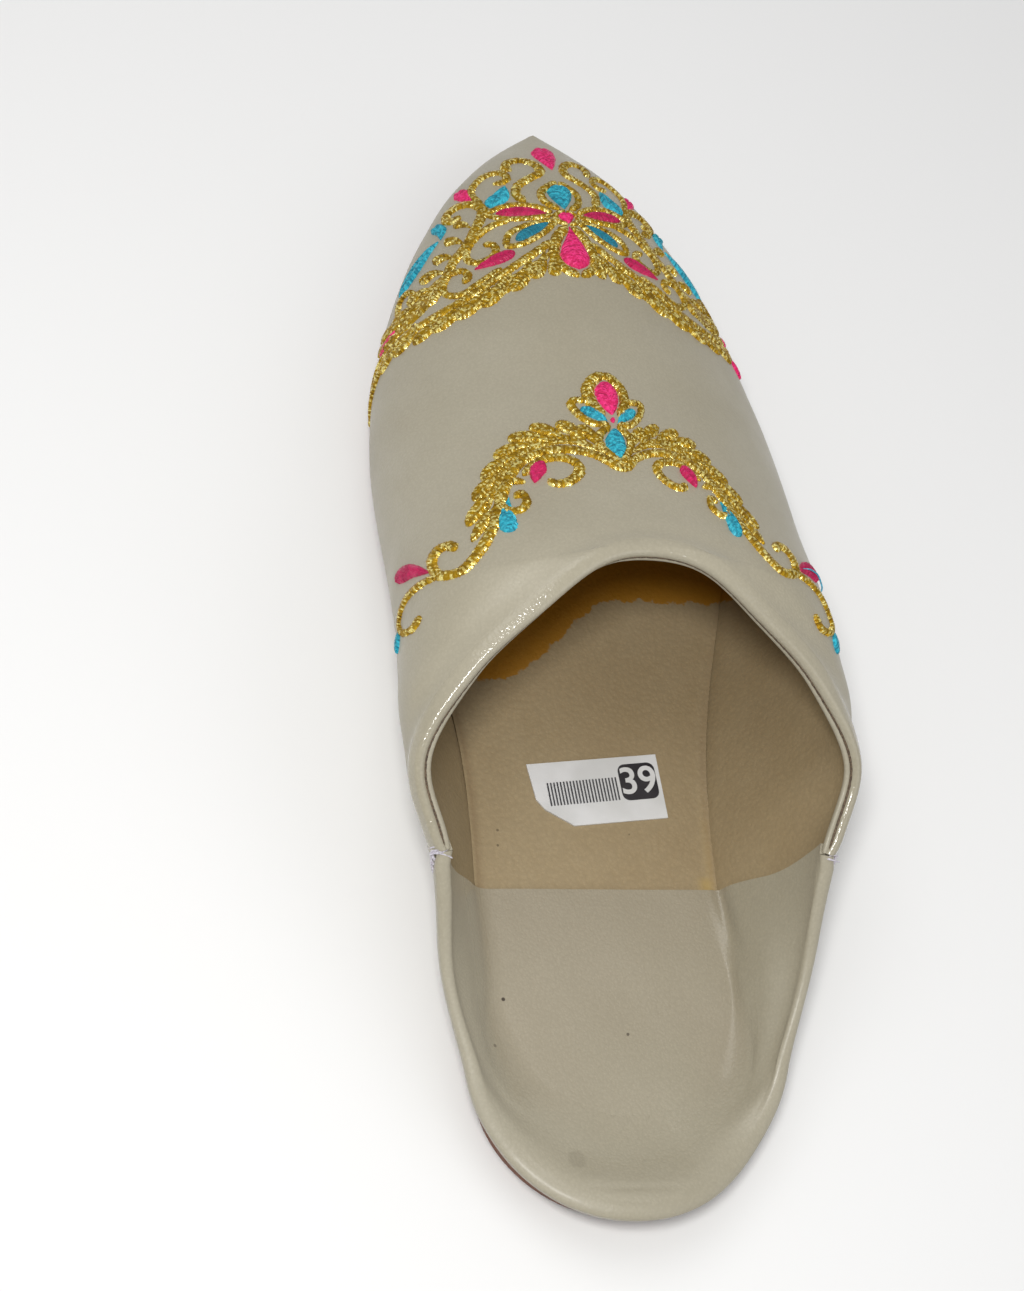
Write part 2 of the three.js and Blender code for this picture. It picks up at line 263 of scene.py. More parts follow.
def gridNormals(grid):
    # Outward normals of a half grid: the faces round each point, added up. On the middle
    # plane the mirror image's faces cancel the x part.
    across = grid[1:, 1:] - grid[:-1, :-1]
    back = grid[:-1, 1:] - grid[1:, :-1]
    face = np.cross(across, back)
    total = np.zeros_like(grid)
    total[:-1, :-1] += face
    total[1:, :-1] += face
    total[:-1, 1:] += face
    total[1:, 1:] += face
    total[..., 0] = np.where(np.abs(grid[..., 0]) < 1e-6, 0, total[..., 0])
    return unit(total)


def mirrored(points):
    # The same points on the other side of the middle plane.
    return points * (-1, 1, 1)


def waves(points, seed, size, count=7):
    # Soft unevenness: a sum of sine waves of about the given size, in seeded directions.
    random = np.random.default_rng(seed)
    direction = unit(random.normal(size=(count, 3)))
    length = size * random.uniform(0.7, 1.6, count)
    phase = random.uniform(0, 2 * np.pi, count)
    return np.sin(points @ (direction.T * 2 * np.pi / length) + phase).mean(-1) * 1.6


# Creases of the vamp: start and end (x, station), half width and depth; raised where negative

vampCreases = [
    {"start": (-47, 128), "end": (-42, 96), "width": 5, "depth": 0.35},
    {"start": (46, 120), "end": (42, 92), "width": 5, "depth": 0.3},
    {"start": (-30, 215), "end": (-10, 206), "width": 7, "depth": 0.25},
    {"start": (12, 200), "end": (33, 207), "width": 7, "depth": 0.25},
]


def creaseDepth(points, creases):
    # Each crease is a bell across its line, which fades towards the line's ends.
    total = np.zeros(points.shape[:-1])
    for crease in creases:
        start = np.array(crease["start"], float)
        line = np.array(crease["end"], float) - start
        share = np.clip(((points[..., :2] - start) @ line) / (line @ line), 0, 1)
        away = np.linalg.norm(points[..., :2] - start - share[..., None] * line, axis=-1)
        fade = np.sin(np.pi * np.clip(share, 0.04, 0.96)) ** 0.7
        total += crease["depth"] * fade * bell(away, crease["width"])
    return total


# The pattern's own measure of the vamp: v is the station and u the distance sideways from
# the crest along the section, in millimetres

patternStep = 0.5
patternStations = np.arange(last["seam"], last["tip"] + 0.01, patternStep)
patternArcs = np.arange(-4, 110.01, patternStep)
crestRun = 18  # the virtual crest follows the slope over this much of the vamp,
crestSlope = 0.9  # times this


def sectionArcs(sections):
    # Length along each section from its foot.
    steps = np.linalg.norm(np.diff(sections, axis=1), axis=2)
    return np.concatenate([np.zeros((len(sections), 1)), np.cumsum(steps, 1)], 1)


def patternTable():
    # Points and normals of the last on a (v, u) grid. Each section is walked by its length
    # from the foot; before the throat the crest is a virtual line that goes on straight.
    stations = patternStations
    mouthShare = (stations - last["seam"]) / (last["throat"] - last["seam"])
    angles = np.degrees(np.arcsin(np.clip(mouthShare, 0, 1)))
    beside = (stations < last["throat"])[:, None, None]
    controls = np.where(beside, mouthControls(angles), vampControls(stations))
    sections = lastSections(controls, np.linspace(0, 1, 97))
    arc = sectionArcs(sections)
    throat = np.searchsorted(stations, last["throat"])
    half = arc[:, -1].copy()
    slope = (half[throat] - half[throat + int(crestRun / patternStep)]) / crestRun * crestSlope
    half[:throat] = half[throat] + slope * (last["throat"] - stations[:throat])
    wanted = np.clip(half[:, None] - np.abs(patternArcs)[None], 0, arc[:, -1:] - 1e-6)
    below = np.stack([(arc <= row[:, None]).sum(1) - 1 for row in wanted.T], 1)
    below = np.clip(below, 0, arc.shape[1] - 2)
    first = np.take_along_axis(arc, below, 1)
    second = np.take_along_axis(arc, below + 1, 1)
    share = ((wanted - first) / np.maximum(second - first, 1e-9))[..., None]
    start = np.take_along_axis(sections, below[..., None], 1)
    end = np.take_along_axis(sections, below[..., None] + 1, 1)
    points = start + (end - start) * share
    points[:, patternArcs < 0] *= (-1, 1, 1)
    forward = np.concatenate([points[1:], 2 * points[-1:] - points[-2:-1]]) - points
    normals = unit(np.cross(np.gradient(points, axis=1), forward))
    # Past the topline the last real normal of the row is carried on
    edge = np.where(stations < last["throat"], half - arc[:, -1] + 1, -9)
    first = np.ceil((edge - patternArcs[0]) / patternStep).astype(int)
    column = np.maximum(np.arange(len(patternArcs))[None], first[:, None])
    normals = np.take_along_axis(normals, column[..., None], 1)
    return points, normals, half


def fromTable(table, u, v):
    # Value of a table at pattern places, between its rows and columns, mirrored where u < 0.
    row = np.clip((v - patternStations[0]) / patternStep, 0, len(patternStations) - 1.001)
    column = np.clip((np.abs(u) - patternArcs[0]) / patternStep, 0, len(patternArcs) - 1.001)
    i, j = row.astype(int), column.astype(int)
    a, b = (row - i)[..., None], (column - j)[..., None]
    near = table[i, j] * (1 - a) + table[i + 1, j] * a
    far = table[i, j + 1] * (1 - a) + table[i + 1, j + 1] * a
    side = np.stack([np.where(u < 0, -1.0, 1.0), np.ones_like(u), np.ones_like(u)], -1)
    return (near * (1 - b) + far * b) * side


print("pattern table")
tablePoints, tableNormals, tableHalf = patternTable()


def sectionNormals(sections):
    # Normals of a half grid of sections, read from the table at each point's pattern place.
    station = sections[..., 1]
    u = np.maximum(np.interp(station, patternStations, tableHalf) - sectionArcs(sections), 0)
    normals = fromTable(tableNormals, u, station)
    normals[..., 0] = np.where(np.abs(sections[..., 0]) < 1e-6, 0, normals[..., 0])
    return unit(normals)


# Topline: the edge of the mouth from the side seam to the throat, with its own directions

topline = {
    "steps": 60,
    "back": 1.9,  # the finished edge sits this far back from the last's own line
    "throatBack": 1.0,  # and this much more at the throat
    "throatWidth": 15,
    "backReach": 8,
    "seamFade": 12,  # neither is there at the side seam, and both are full this far ahead of it
    "rollAt": 1.6,  # middle of the padded roll, from the edge
    "rollReach": 2.09,
    "rollRise": 0.5,
    "valleyAt": 7.0,
    "valleyReach": 2.4,
    "valleyDepth": 0.2,
    "normalSteps": 6,  # the edge's normals are evened out over this many steps each way
    "normalReach": 3.5,
}

mouthAngles = np.linspace(0, 90, topline["steps"] + 1)
mouthSections = lastSections(mouthControls(mouthAngles), np.linspace(0, 1, 61))
lastRim = mouthSections[:, -1]


def evenNormals(normals):
    # Normals along the whole mouth, each the bell-weighted sum of its neighbours.
    reach = topline["normalSteps"]
    whole = np.concatenate([normals, mirrored(normals[-2::-1])])
    whole = np.pad(whole, ((reach, reach), (0, 0)), mode="edge")
    weight = bell(np.arange(-reach, reach + 1), topline["normalReach"])
    return unit(np.stack([np.convolve(column, weight, "valid") for column in whole.T], 1))[: len(normals)]


rimNormal = evenNormals(sectionNormals(mouthSections)[:, -1])
rimAhead = unit(np.gradient(lastRim, axis=0))
rimAhead[-1] = (-1, 0, 0)
rimOut = unit(np.cross(rimNormal, rimAhead))  # away from the leather, into the mouth
wholeRim = np.concatenate([mirrored(lastRim), lastRim[-2::-1]])
wholeOut = np.concatenate([mirrored(rimOut), rimOut[-2::-1]])


def nearTopline(points):
    # Distance from each point to the topline and the outward direction there: the nearest
    # corner of the line is found first, then the nearest place on the two spans beside it.
    flat = points.reshape(-1, 3)
    slices = np.array_split(flat, max(1, len(flat) // 4000))
    nearest = [np.linalg.norm(part[:, None] - wholeRim[None], axis=2).argmin(1) for part in slices]
    index = np.concatenate(nearest).reshape(points.shape[:-1])
    best = np.full(index.shape, np.inf)
    out = np.zeros_like(points)
    for step in (-1, 0):
        first = np.clip(index + step, 0, len(wholeRim) - 2)
        span = wholeRim[first + 1] - wholeRim[first]
        share = ((points - wholeRim[first]) * span).sum(-1) / (span * span).sum(-1)
        share = np.clip(share, 0, 1)[..., None]
        away = np.linalg.norm(points - wholeRim[first] - share * span, axis=-1)
        direction = wholeOut[first] * (1 - share) + wholeOut[first + 1] * share
        out = np.where((away < best)[..., None], direction, out)
        best = np.minimum(away, best)
    return best, unit(out)


def easedBack(points):
    # The mouth is a little wider than the last's own line, fading away from the topline.
    near, out = nearTopline(points)
    back = topline["back"] + topline["throatBack"] * bell(points[..., 0], topline["throatWidth"])
    back *= bell(near, topline["backReach"])
    back *= smooth(points[..., 1], last["seam"], last["seam"] + topline["seamFade"])
    return points - back[..., None] * out


def vampRelief(points):
    # Height of the leather over the last: roll and valley along the topline, creases, unevenness.
    near = nearTopline(points)[0]
    roll = topline["rollRise"] * bell(near - topline["rollAt"], topline["rollReach"])
    valley = topline["valleyDepth"] * bell(near - topline["valleyAt"], topline["valleyReach"])
    even = waves(points, 3, 34) * 0.22 + waves(points, 4, 13) * 0.06
    return roll - valley - creaseDepth(points, vampCreases) + even * smooth(near, 0, 12)


leatherPoints = easedBack(tablePoints) + vampRelief(tablePoints)[..., None] * tableNormals


def onVamp(u, v):
    # Point and normal of the finished leather at pattern places.
    return fromTable(leatherPoints, u, v), unit(fromTable(tableNormals, u, v))


# Meshes from grids

def patch(points, wrap=False, caps=False, flip=False, uv=None, **values):
    # One grid of points (rows, columns, 3) with its own values for each point. wrap joins the
    # last column to the first, and caps closes the first and last row.
    points = np.asarray(points, float)
    return {"points": points, "wrap": wrap, "caps": caps, "flip": flip, "uv": uv, "values": values}


def patchFaces(part, first):
    # Quads between neighbouring rows and columns, numbered from the patch's first point.
    rows, columns = part["points"].shape[:2]
    index = first + np.arange(rows * columns).reshape(rows, columns)
    if part["wrap"]:
        index = np.concatenate([index, index[:, :1]], 1)
    quads = np.stack([index[:-1, :-1], index[1:, :-1], index[1:, 1:], index[:-1, 1:]], -1).reshape(-1, 4)
    if part["flip"]:
        quads = quads[:, ::-1]
    faces = quads.tolist()
    if part["caps"]:
        edge = index[:, :-1] if part["wrap"] else index
        ends = [edge[0], edge[-1][::-1]]
        faces += [(end[::-1] if part["flip"] else end).tolist() for end in ends]
    return faces


def buildPiece(name, parts, material, weld=True, wall=0, outwards=False, sharp=50):
    # Joins patches into one named piece. weld merges the points that patches share, wall gives an
    # open sheet its thickness in millimetres on the side away from its faces, and outwards turns
    # the faces of a closed piece outwards. Edges that turn by more than sharp degrees stay crisp.
    points = np.concatenate([part["points"].reshape(-1, 3) for part in parts])
    faces = []
    first = 0
    for part in parts:
        faces += patchFaces(part, first)
        first += part["points"].shape[0] * part["points"].shape[1]
    mesh = bpy.data.meshes.new(name)
    mesh.from_pydata(toFrame(points).tolist(), [], faces)
    for key in sorted({key for part in parts for key in part["values"]}):
        spread = [
            np.broadcast_to(part["values"].get(key, 0.0), part["points"].shape[:2]).reshape(-1)
            for part in parts
        ]
        layer = mesh.attributes.new(key, "FLOAT", "POINT")
        layer.data.foreach_set("value", np.concatenate(spread).astype(np.float32))
    if all(part["uv"] is not None for part in parts):
        uv = np.concatenate([part["uv"].reshape(-1, 2) for part in parts])
        corner = np.empty(len(mesh.loops), np.int32)
        mesh.loops.foreach_get("vertex_index", corner)
        layer = mesh.uv_layers.new(name="stitchMap")
        layer.data.foreach_set("uv", uv[corner].astype(np.float32).ravel())
    work = bmesh.new()
    work.from_mesh(mesh)
    if weld:
        bmesh.ops.remove_doubles(work, verts=work.verts, dist=2e-6)
    if outwards:
        bmesh.ops.recalc_face_normals(work, faces=work.faces)
    work.to_mesh(mesh)
    work.free()
    mesh.update()
    piece = bpy.data.objects.new(name, mesh)
    bpy.context.scene.collection.objects.link(piece)
    if wall:
        solid = piece.modifiers.new("wall", "SOLIDIFY")
        solid.thickness = wall / 1000
        solid.offset = -1
        solid.use_even_offset = False
        depsgraph = bpy.context.evaluated_depsgraph_get()
        finished = bpy.data.meshes.new_from_object(
            piece.evaluated_get(depsgraph), preserve_all_data_layers=True, depsgraph=depsgraph
        )
        piece.modifiers.clear()
        piece.data = finished
        finished.name = name
    piece.data.polygons.foreach_set("use_smooth", np.ones(len(piece.data.polygons), bool))
    piece.data.set_sharp_from_angle(angle=math.radians(sharp))
    piece.data.materials.clear()
    piece.data.materials.append(material)
    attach(piece, "root")
    print("made", name, len(piece.data.polygons), "faces")
    return piece


def bothSides(part):
    # A patch and its mirror image.
    other = dict(part)
    other["points"] = mirrored(part["points"])
    other["flip"] = not part["flip"]
    return [part, other]


def roundTube(path, radius, sides):
    # Circle of points carried along a path, turned with a steady up direction.
    ahead = unit(np.gradient(path, axis=0))
    up = np.array([0.0, 0.1, 1.0])
    across = unit(np.cross(ahead, up))
    over = np.cross(across, ahead)
    turn = np.linspace(0, 2 * np.pi, sides, endpoint=False)
    radius = np.broadcast_to(radius, len(path))[:, None, None]
    circle = np.cos(turn)[None, :, None] * across[:, None] + np.sin(turn)[None, :, None] * over[:, None]
    return path[:, None] + radius * circle


# Materials

def newMaterial(name):
    # An empty material with one Principled shader on its output.
    material = bpy.data.materials.new(name)
    material.use_nodes = True
    material.node_tree.nodes.clear()
    tree = material.node_tree
    output = tree.nodes.new("ShaderNodeOutputMaterial")
    shader = tree.nodes.new("ShaderNodeBsdfPrincipled")
    tree.links.new(shader.outputs["BSDF"], output.inputs["Surface"])
    return material, tree, shader


def addNode(tree, kind, inputs=None, **settings):
    # A node with its settings, and each input either linked or set.
    node = tree.nodes.new("ShaderNode" + kind)
    for key, value in settings.items():
        setattr(node, key, value)
    for key, value in (inputs or {}).items():
        if isinstance(value, bpy.types.NodeSocket):
            tree.links.new(value, node.inputs[key])
        else:
            node.inputs[key].default_value = value
    return node


def objectPlace(tree, scale=(1, 1, 1), location=(0, 0, 0), rotation=(0, 0, 0)):
    # Object coordinates, in metres, for a pattern that is stretched, moved or turned.
    place = addNode(tree, "TexCoord").outputs["Object"]
    settings = {"Vector": place, "Scale": scale, "Location": location, "Rotation": rotation}
    return addNode(tree, "Mapping", settings).outputs["Vector"]


def noise(tree, place, scale, detail=2.0, roughness=0.5):
    # Cloudy pattern with scale clouds to the metre.
    inputs = {"Vector": place, "Scale": scale, "Detail": detail, "Roughness": roughness}
    return addNode(tree, "TexNoise", inputs).outputs["Fac"]


def maths(tree, operation, first, second=0.0, third=0.0):
    # One sum on up to three values.
    return addNode(tree, "Math", {0: first, 1: second, 2: third}, operation=operation).outputs[0]


def spread(tree, value, fromLow, fromHigh, toLow=0.0, toHigh=1.0):
    # Value moved from one range to another on an S curve, held at the ends.
    inputs = {"Value": value, "From Min": fromLow, "From Max": fromHigh, "To Min": toLow, "To Max": toHigh}
    return addNode(tree, "MapRange", inputs, interpolation_type="SMOOTHSTEP").outputs["Result"]


def mixColour(tree, factor, first, second, blend="MIX"):
    # From the first colour to the second by the factor; colours and factor are linked or set.
    node = addNode(tree, "Mix", data_type="RGBA", blend_type=blend)
    for socket, value in zip((node.inputs[0], node.inputs[6], node.inputs[7]), (factor, first, second)):
        if isinstance(value, bpy.types.NodeSocket):
            tree.links.new(value, socket)
        elif socket == node.inputs[0]:
            socket.default_value = value
        else:
            socket.default_value = (*value, 1)
    return node.outputs[2]


def bump(tree, height, strength, distance, normal=None):
    # Relief of the given height, in metres, on top of an earlier relief.
    inputs = {"Height": height, "Strength": strength, "Distance": distance}
    if normal is not None:
        inputs["Normal"] = normal
    return addNode(tree, "Bump", inputs).outputs["Normal"]


def valueOf(tree, name):
    # The piece's own value at each point.
    return addNode(tree, "Attribute", attribute_name=name, attribute_type="GEOMETRY").outputs["Fac"]


def tinted(tree, share, value, tone, colour):
    # The tone moved towards a colour by a share of a value.
    return mixColour(tree, maths(tree, "MULTIPLY", value, share), tone, colour)


def pebbles(tree, place, scale, fineScale, fineShare):
    # Leather grain: soft cells, with a fine noise on them.
    cells = addNode(
        tree, "TexVoronoi", {"Vector": place, "Scale": scale, "Randomness": 1.0}, feature="SMOOTH_F1"
    ).outputs["Distance"]
    return maths(tree, "MULTIPLY_ADD", noise(tree, place, fineScale, 3), fineShare, cells)


def shaded(tree, tone, shade):
    # The tone times a grey shade.
    grey = addNode(tree, "CombineColor", {0: shade, 1: shade, 2: shade}).outputs[0]
    return mixColour(tree, 1.0, tone, grey, "MULTIPLY")


# Dark marks: x, station and radius in millimetres, and how dark
footbedSpecks = [
    (-23.1, 48.8, 0.42, 0.95),
    (3.1, 41.1, 0.36, 0.7),
    (-26.0, 38.5, 0.4, 0.45),
    (-11.5, 14.3, 2.0, 0.13),
]
insoleSpecks = [(-21.1, 87.1, 0.32, 0.55), (-21.3, 83.6, 0.3, 0.55), (8.5, 86.5, 0.25, 0.4)]
speckLook = {
    "colour": (0.035, 0.022, 0.012),
    "outer": 0.0012,  # edge of a mark, as a share of its radius in millimetres
    "inner": 0.0007,
}


def specks(tree, place, tone, marks):
    # Small dark spots, each where the distance from its own centre is under its radius.
    flat = addNode(tree, "VectorMath", {0: place, 1: (1, 1, 0)}, operation="MULTIPLY").outputs[0]
    for x, station, radius, strength in marks:
        centre = (x / 1000, (station - middleStation) / 1000, 0)
        away = addNode(tree, "VectorMath", {0: flat, 1: centre}, operation="DISTANCE").outputs["Value"]
        dark = spread(tree, away, radius * speckLook["outer"], radius * speckLook["inner"], 0.0, strength)
        tone = mixColour(tree, dark, tone, speckLook["colour"])
    return tone


creamLook = {
    "light": (0.375, 0.343, 0.26),
    "deep": (0.34, 0.307, 0.225),
    "inside": (0.35, 0.315, 0.215),
    "yellow": (0.36, 0.27, 0.12),
    "glue": (0.42, 0.2, 0.03),
    "lowBrown": (0.2, 0.135, 0.07),
    "lowBrownHeight": (0.0095, 0.016),  # the darker brown fades out between these heights, in metres
    "grain": 1700,  # pebbles to the metre
    "fineGrain": 2900,
    "grainDepth": 0.00012,
    "roughness": (0.44, 0.56),
    "rollRoughness": 0.14,
    "coat": 0.12,
    "coatRoughness": 0.22,
}


def creamLeather(name, stained=False):
    # Pebbled faux leather: grain and pores in the bump, mottled cream, a darker brown low down, and a
    # polished roll. The stained one has faint yellow patches and specks on the footbed.
    material, tree, shader = newMaterial(name)
    place = objectPlace(tree)
    grain = pebbles(tree, place, creamLook["grain"], creamLook["fineGrain"], 0.55)
    mottle = noise(tree, place, 17, 4, 0.6)
    tone = mixColour(tree, spread(tree, mottle, 0.32, 0.68), creamLook["light"], creamLook["deep"])
    tone = shaded(tree, tone, spread(tree, grain, 0.25, 0.95, 1.02, 0.94))
    height = addNode(tree, "SeparateXYZ", {"Vector": place}).outputs["Z"]
    brownLow, brownHigh = creamLook["lowBrownHeight"]
    # darker and browner towards the bottom of the leather
    low = spread(tree, maths(tree, "MULTIPLY_ADD", mottle, 0.006, height), brownLow, brownHigh, 1.0, 0.0)
    tone = tinted(tree, 0.3, low, tone, creamLook["lowBrown"])
    if stained:
        inside = valueOf(tree, "inside")
        footbed = maths(tree, "MULTIPLY", spread(tree, height, 0.0125, 0.0095), inside)
        tone = tinted(tree, 0.6, inside, tone, creamLook["inside"])
        patches = noise(tree, objectPlace(tree, location=(0.31, 0.12, 0)), 75, 6, 0.7)
        yellow = maths(tree, "MULTIPLY", spread(tree, patches, 0.54, 0.72, 0.0, 0.3), footbed)
        tone = mixColour(tree, yellow, tone, creamLook["yellow"])
        tone = specks(tree, place, tone, footbedSpecks)
    tone = tinted(tree, 0.75 if stained else 0.8, valueOf(tree, "glue"), tone, creamLook["glue"])
    tree.links.new(tone, shader.inputs["Base Color"])
    roughLow, roughHigh = creamLook["roughness"]
    rough = spread(tree, noise(tree, place, 95, 3), 0.3, 0.7, roughLow, roughHigh)
    overRoll = maths(tree, "SUBTRACT", rough, creamLook["rollRoughness"])
    notRoll = maths(tree, "SUBTRACT", 1.0, valueOf(tree, "roll"))
    rough = maths(tree, "MULTIPLY_ADD", overRoll, notRoll, creamLook["rollRoughness"])
    tree.links.new(rough, shader.inputs["Roughness"])
    uneven = bump(tree, noise(tree, place, 42, 3), 0.35, 0.0012)
    tree.links.new(bump(tree, grain, 0.5, creamLook["grainDepth"], uneven), shader.inputs["Normal"])
    shader.inputs["Coat Weight"].default_value = creamLook["coat"]
    shader.inputs["Coat Roughness"].default_value = creamLook["coatRoughness"]
    shader.inputs["Specular IOR Level"].default_value = 0.5
    shader.inputs["Sheen Weight"].default_value = 0.05
    return material


# Vamp: the front of the upper, from the side seams to the toe

vampLook = {
    "vampRows": 110,
    "columns": 60,
    "wall": 1.3,
    "lipRadius": 1.25,
    "lipEnd": 155,  # degrees that the roll turns under
    "lipSteps": 10,
    "seamReach": 2.2,  # the leather dips to the side seam over this distance
    "seamDip": 0.7,
    "footDrop": 0.35,  # its lowest edge runs down into the gap over the sole
    "polishFrom": 1.4,  # the polished roll, from the edge
    "polishReach": 1.8,
    "glueAt": 70.5,  # glue shows in the seam's top
    "glueReach": 1.6,
    "glueLow": 36.5,
    "glueHigh": 38.7,
}


def vampPatches():
    # Sections from the foot to the top, moved along their normals by the relief, then the roll, an
    # arc from the edge of the mouth that turns under it, and the end at the toe.
    across = np.linspace(0, 1, vampLook["columns"] + 1)
    besideMouth = lastSections(mouthControls(mouthAngles), across)
    share = np.linspace(0, 1, vampLook["vampRows"] + 1)
    stations = last["throat"] + (last["tip"] - last["throat"]) * (share + np.sin(np.pi / 2 * share)) / 2
    closed = lastSections(vampControls(stations), across)
    whole = np.concatenate([besideMouth, closed[1:]])
    normals = sectionNormals(whole)
    lift = vampRelief(whole)
    lift -= vampLook["seamDip"] * (1 - smooth(whole[..., 1] - last["seam"], 0, vampLook["seamReach"]))
    skin = easedBack(whole) + lift[..., None] * normals
    skin[topline["steps"]:, -1, 0] = 0
    skin[:, 0, 2] -= vampLook["footDrop"]
    pastRoll = np.maximum(nearTopline(whole)[0] - vampLook["polishFrom"], 0)
    roll = bell(pastRoll, vampLook["polishReach"])
    glue = bell(whole[..., 1] - vampLook["glueAt"], vampLook["glueReach"])
    glue *= smooth(whole[..., 2], vampLook["glueLow"], vampLook["glueHigh"])
    rim = skin[: topline["steps"] + 1, -1]
    turn = np.radians(np.linspace(0, vampLook["lipEnd"], vampLook["lipSteps"] + 1))
    radius = vampLook["lipRadius"]
    centre = rim - radius * rimNormal
    lip = centre[:, None] + radius * (
        np.cos(turn)[None, :, None] * rimNormal[:, None] + np.sin(turn)[None, :, None] * rimOut[:, None]
    )
    tipRow = skin[-1]
    tipMiddle = np.stack([0 * tipRow[:, 0], tipRow[:, 1] + 0.25, tipRow[:, 2]], -1)
    end = np.stack([tipRow, tipMiddle])
    right = patch(skin, roll=roll, glue=glue)  # glue shows on the right only
    left = bothSides(patch(skin, roll=roll))[1]
    return [right, left] + bothSides(patch(lip, roll=1.0)) + bothSides(patch(end))


# Heel quarter: outside wall, roll over the rim, down the inside and flat over the insole

quarterLook = {
    "arcRows": 40,
    "sideRows": 34,
    "wallColumns": 26,
    "rollSteps": 12,
    "insideSteps": 26,
    "cornerSteps": 10,
    "floorSteps": 26,
    "thick": 2.5,  # from the outside of the wall to its folded inside at the rim
    "thickAtSeam": 3.2,
    "thickAtBack": 5.0,
    "slope": 2.0,  # the inside leans in by this much further down
    "rollRise": 1.05,
    "frontDrop": 0.8,  # the cut front edge lies lower than the rest of the footbed
    "heelLift": 1.4,  # the footbed rises this much to the foot of the heel's wall,
    "liftReach": 9.0,  # fading over this distance
    "rightWider": 4.0,  # the footbed reaches further out on the right
    "wall": 1.1,
    "fineColumns": 80,
    "cornerReach": 2.8,  # the rounded corner between the inside and the footbed,
    "cornerReachAtBack": 9.0,  # and how much wider it is at the back
    "rollTurn": 0.4,  # share of the half turn that the roll leaves out at the back
}

quarterCreases = [
    {"start": (25.3, 86), "end": (28.6, 56), "width": 1.0, "depth": 0.95},
    {"start": (-24.6, 79), "end": (-23.5, 58), "width": 2.6, "depth": 0.2},
    {"start": (-14, 8.2), "end": (13, 7.6), "width": 0.9, "depth": 0.22},
    {"start": (-10, 48), "end": (14, 44), "width": 8, "depth": 0.25},
    {"start": (8, 30), "end": (-14, 26), "width": 7, "depth": -0.3},
]


def sampleColumns(grid, index):
    # Points of each row at fractional column numbers.
    whole = np.clip(index.astype(int), 0, grid.shape[1] - 2)
    share = (index - whole)[..., None]
    start = np.take_along_axis(grid, whole[..., None], 1)
    end = np.take_along_axis(grid, whole[..., None] + 1, 1)
    return start + (end - start) * share


def columnAtHeight(inner, height):
    # Fractional column at which each row of the inside reaches a height.
    below = np.clip((inner[..., 2] < height[:, None]).sum(1) - 1, 0, inner.shape[1] - 2)
    low = np.take_along_axis(inner[..., 2], below[:, None], 1)[:, 0]
    high = np.take_along_axis(inner[..., 2], below[:, None] + 1, 1)[:, 0]
    return below + np.clip((height - low) / np.maximum(high - low, 1e-6), 0, 1)


def footbedLift(places, edge, lift):
    # The highest of the footbed edge's own lifts, each faded by its distance from the place.
    away = np.linalg.norm(places[..., None, :2] - edge, axis=-1)
    return (lift * np.exp(-away / quarterLook["liftReach"])).max(-1)


def quarterWall():
    # Sections round the heel and along its sides, their normals, and the finished outside, which
    # is moved along the normals by its unevenness and by the dip at the side seam.
    arc = heelControls(np.linspace(0, 90, quarterLook["arcRows"] + 1))
    sides = sideControls(np.linspace(last["heelArcEnd"], last["seam"], quarterLook["sideRows"] + 1))
    fineColumns = quarterLook["fineColumns"]
    fine = bezier(np.concatenate([arc, sides[1:]]), np.linspace(0, 1, fineColumns + 1))
    normals = gridNormals(fine)
    columns = np.linspace(0, fineColumns, quarterLook["wallColumns"] + 1)
    columns = np.broadcast_to(columns, (len(fine), len(columns)))
    outer = sampleColumns(fine, columns)
    seam = last["seam"]
    dip = vampLook["seamDip"] * smooth(outer[..., 1], seam - vampLook["seamReach"], seam)
    uneven = waves(outer, 11, 26) * 0.2 + waves(outer, 12, 10) * 0.06
    moved = (uneven * smooth(outer[..., 2], 5, 9) - dip)[..., None]
    return fine, normals, outer + moved * unit(sampleColumns(normals, columns))


def rimRoll(fine, rim, normals, behind, thick):
    # Half turn over the rim, as wide as the folded leather is thick; less of a turn at the back.
    normal = normals[:, -1]
    ahead = unit(np.gradient(fine[:, -1], axis=0))
    ahead[0] = (1, 0, 0)
    up = unit(np.cross(normal, ahead))
    turn = np.radians(np.linspace(0, 180, quarterLook["rollSteps"] + 1))[1:-1]
    turn = turn[None] * (1 - quarterLook["rollTurn"] * behind[:, None])
    return (rim - thick / 2 * normal)[:, None] + (
        thick[:, None] / 2 * np.cos(turn)[..., None] * normal[:, None]
        + quarterLook["rollRise"] * np.sin(turn)[..., None] * up[:, None]
    )


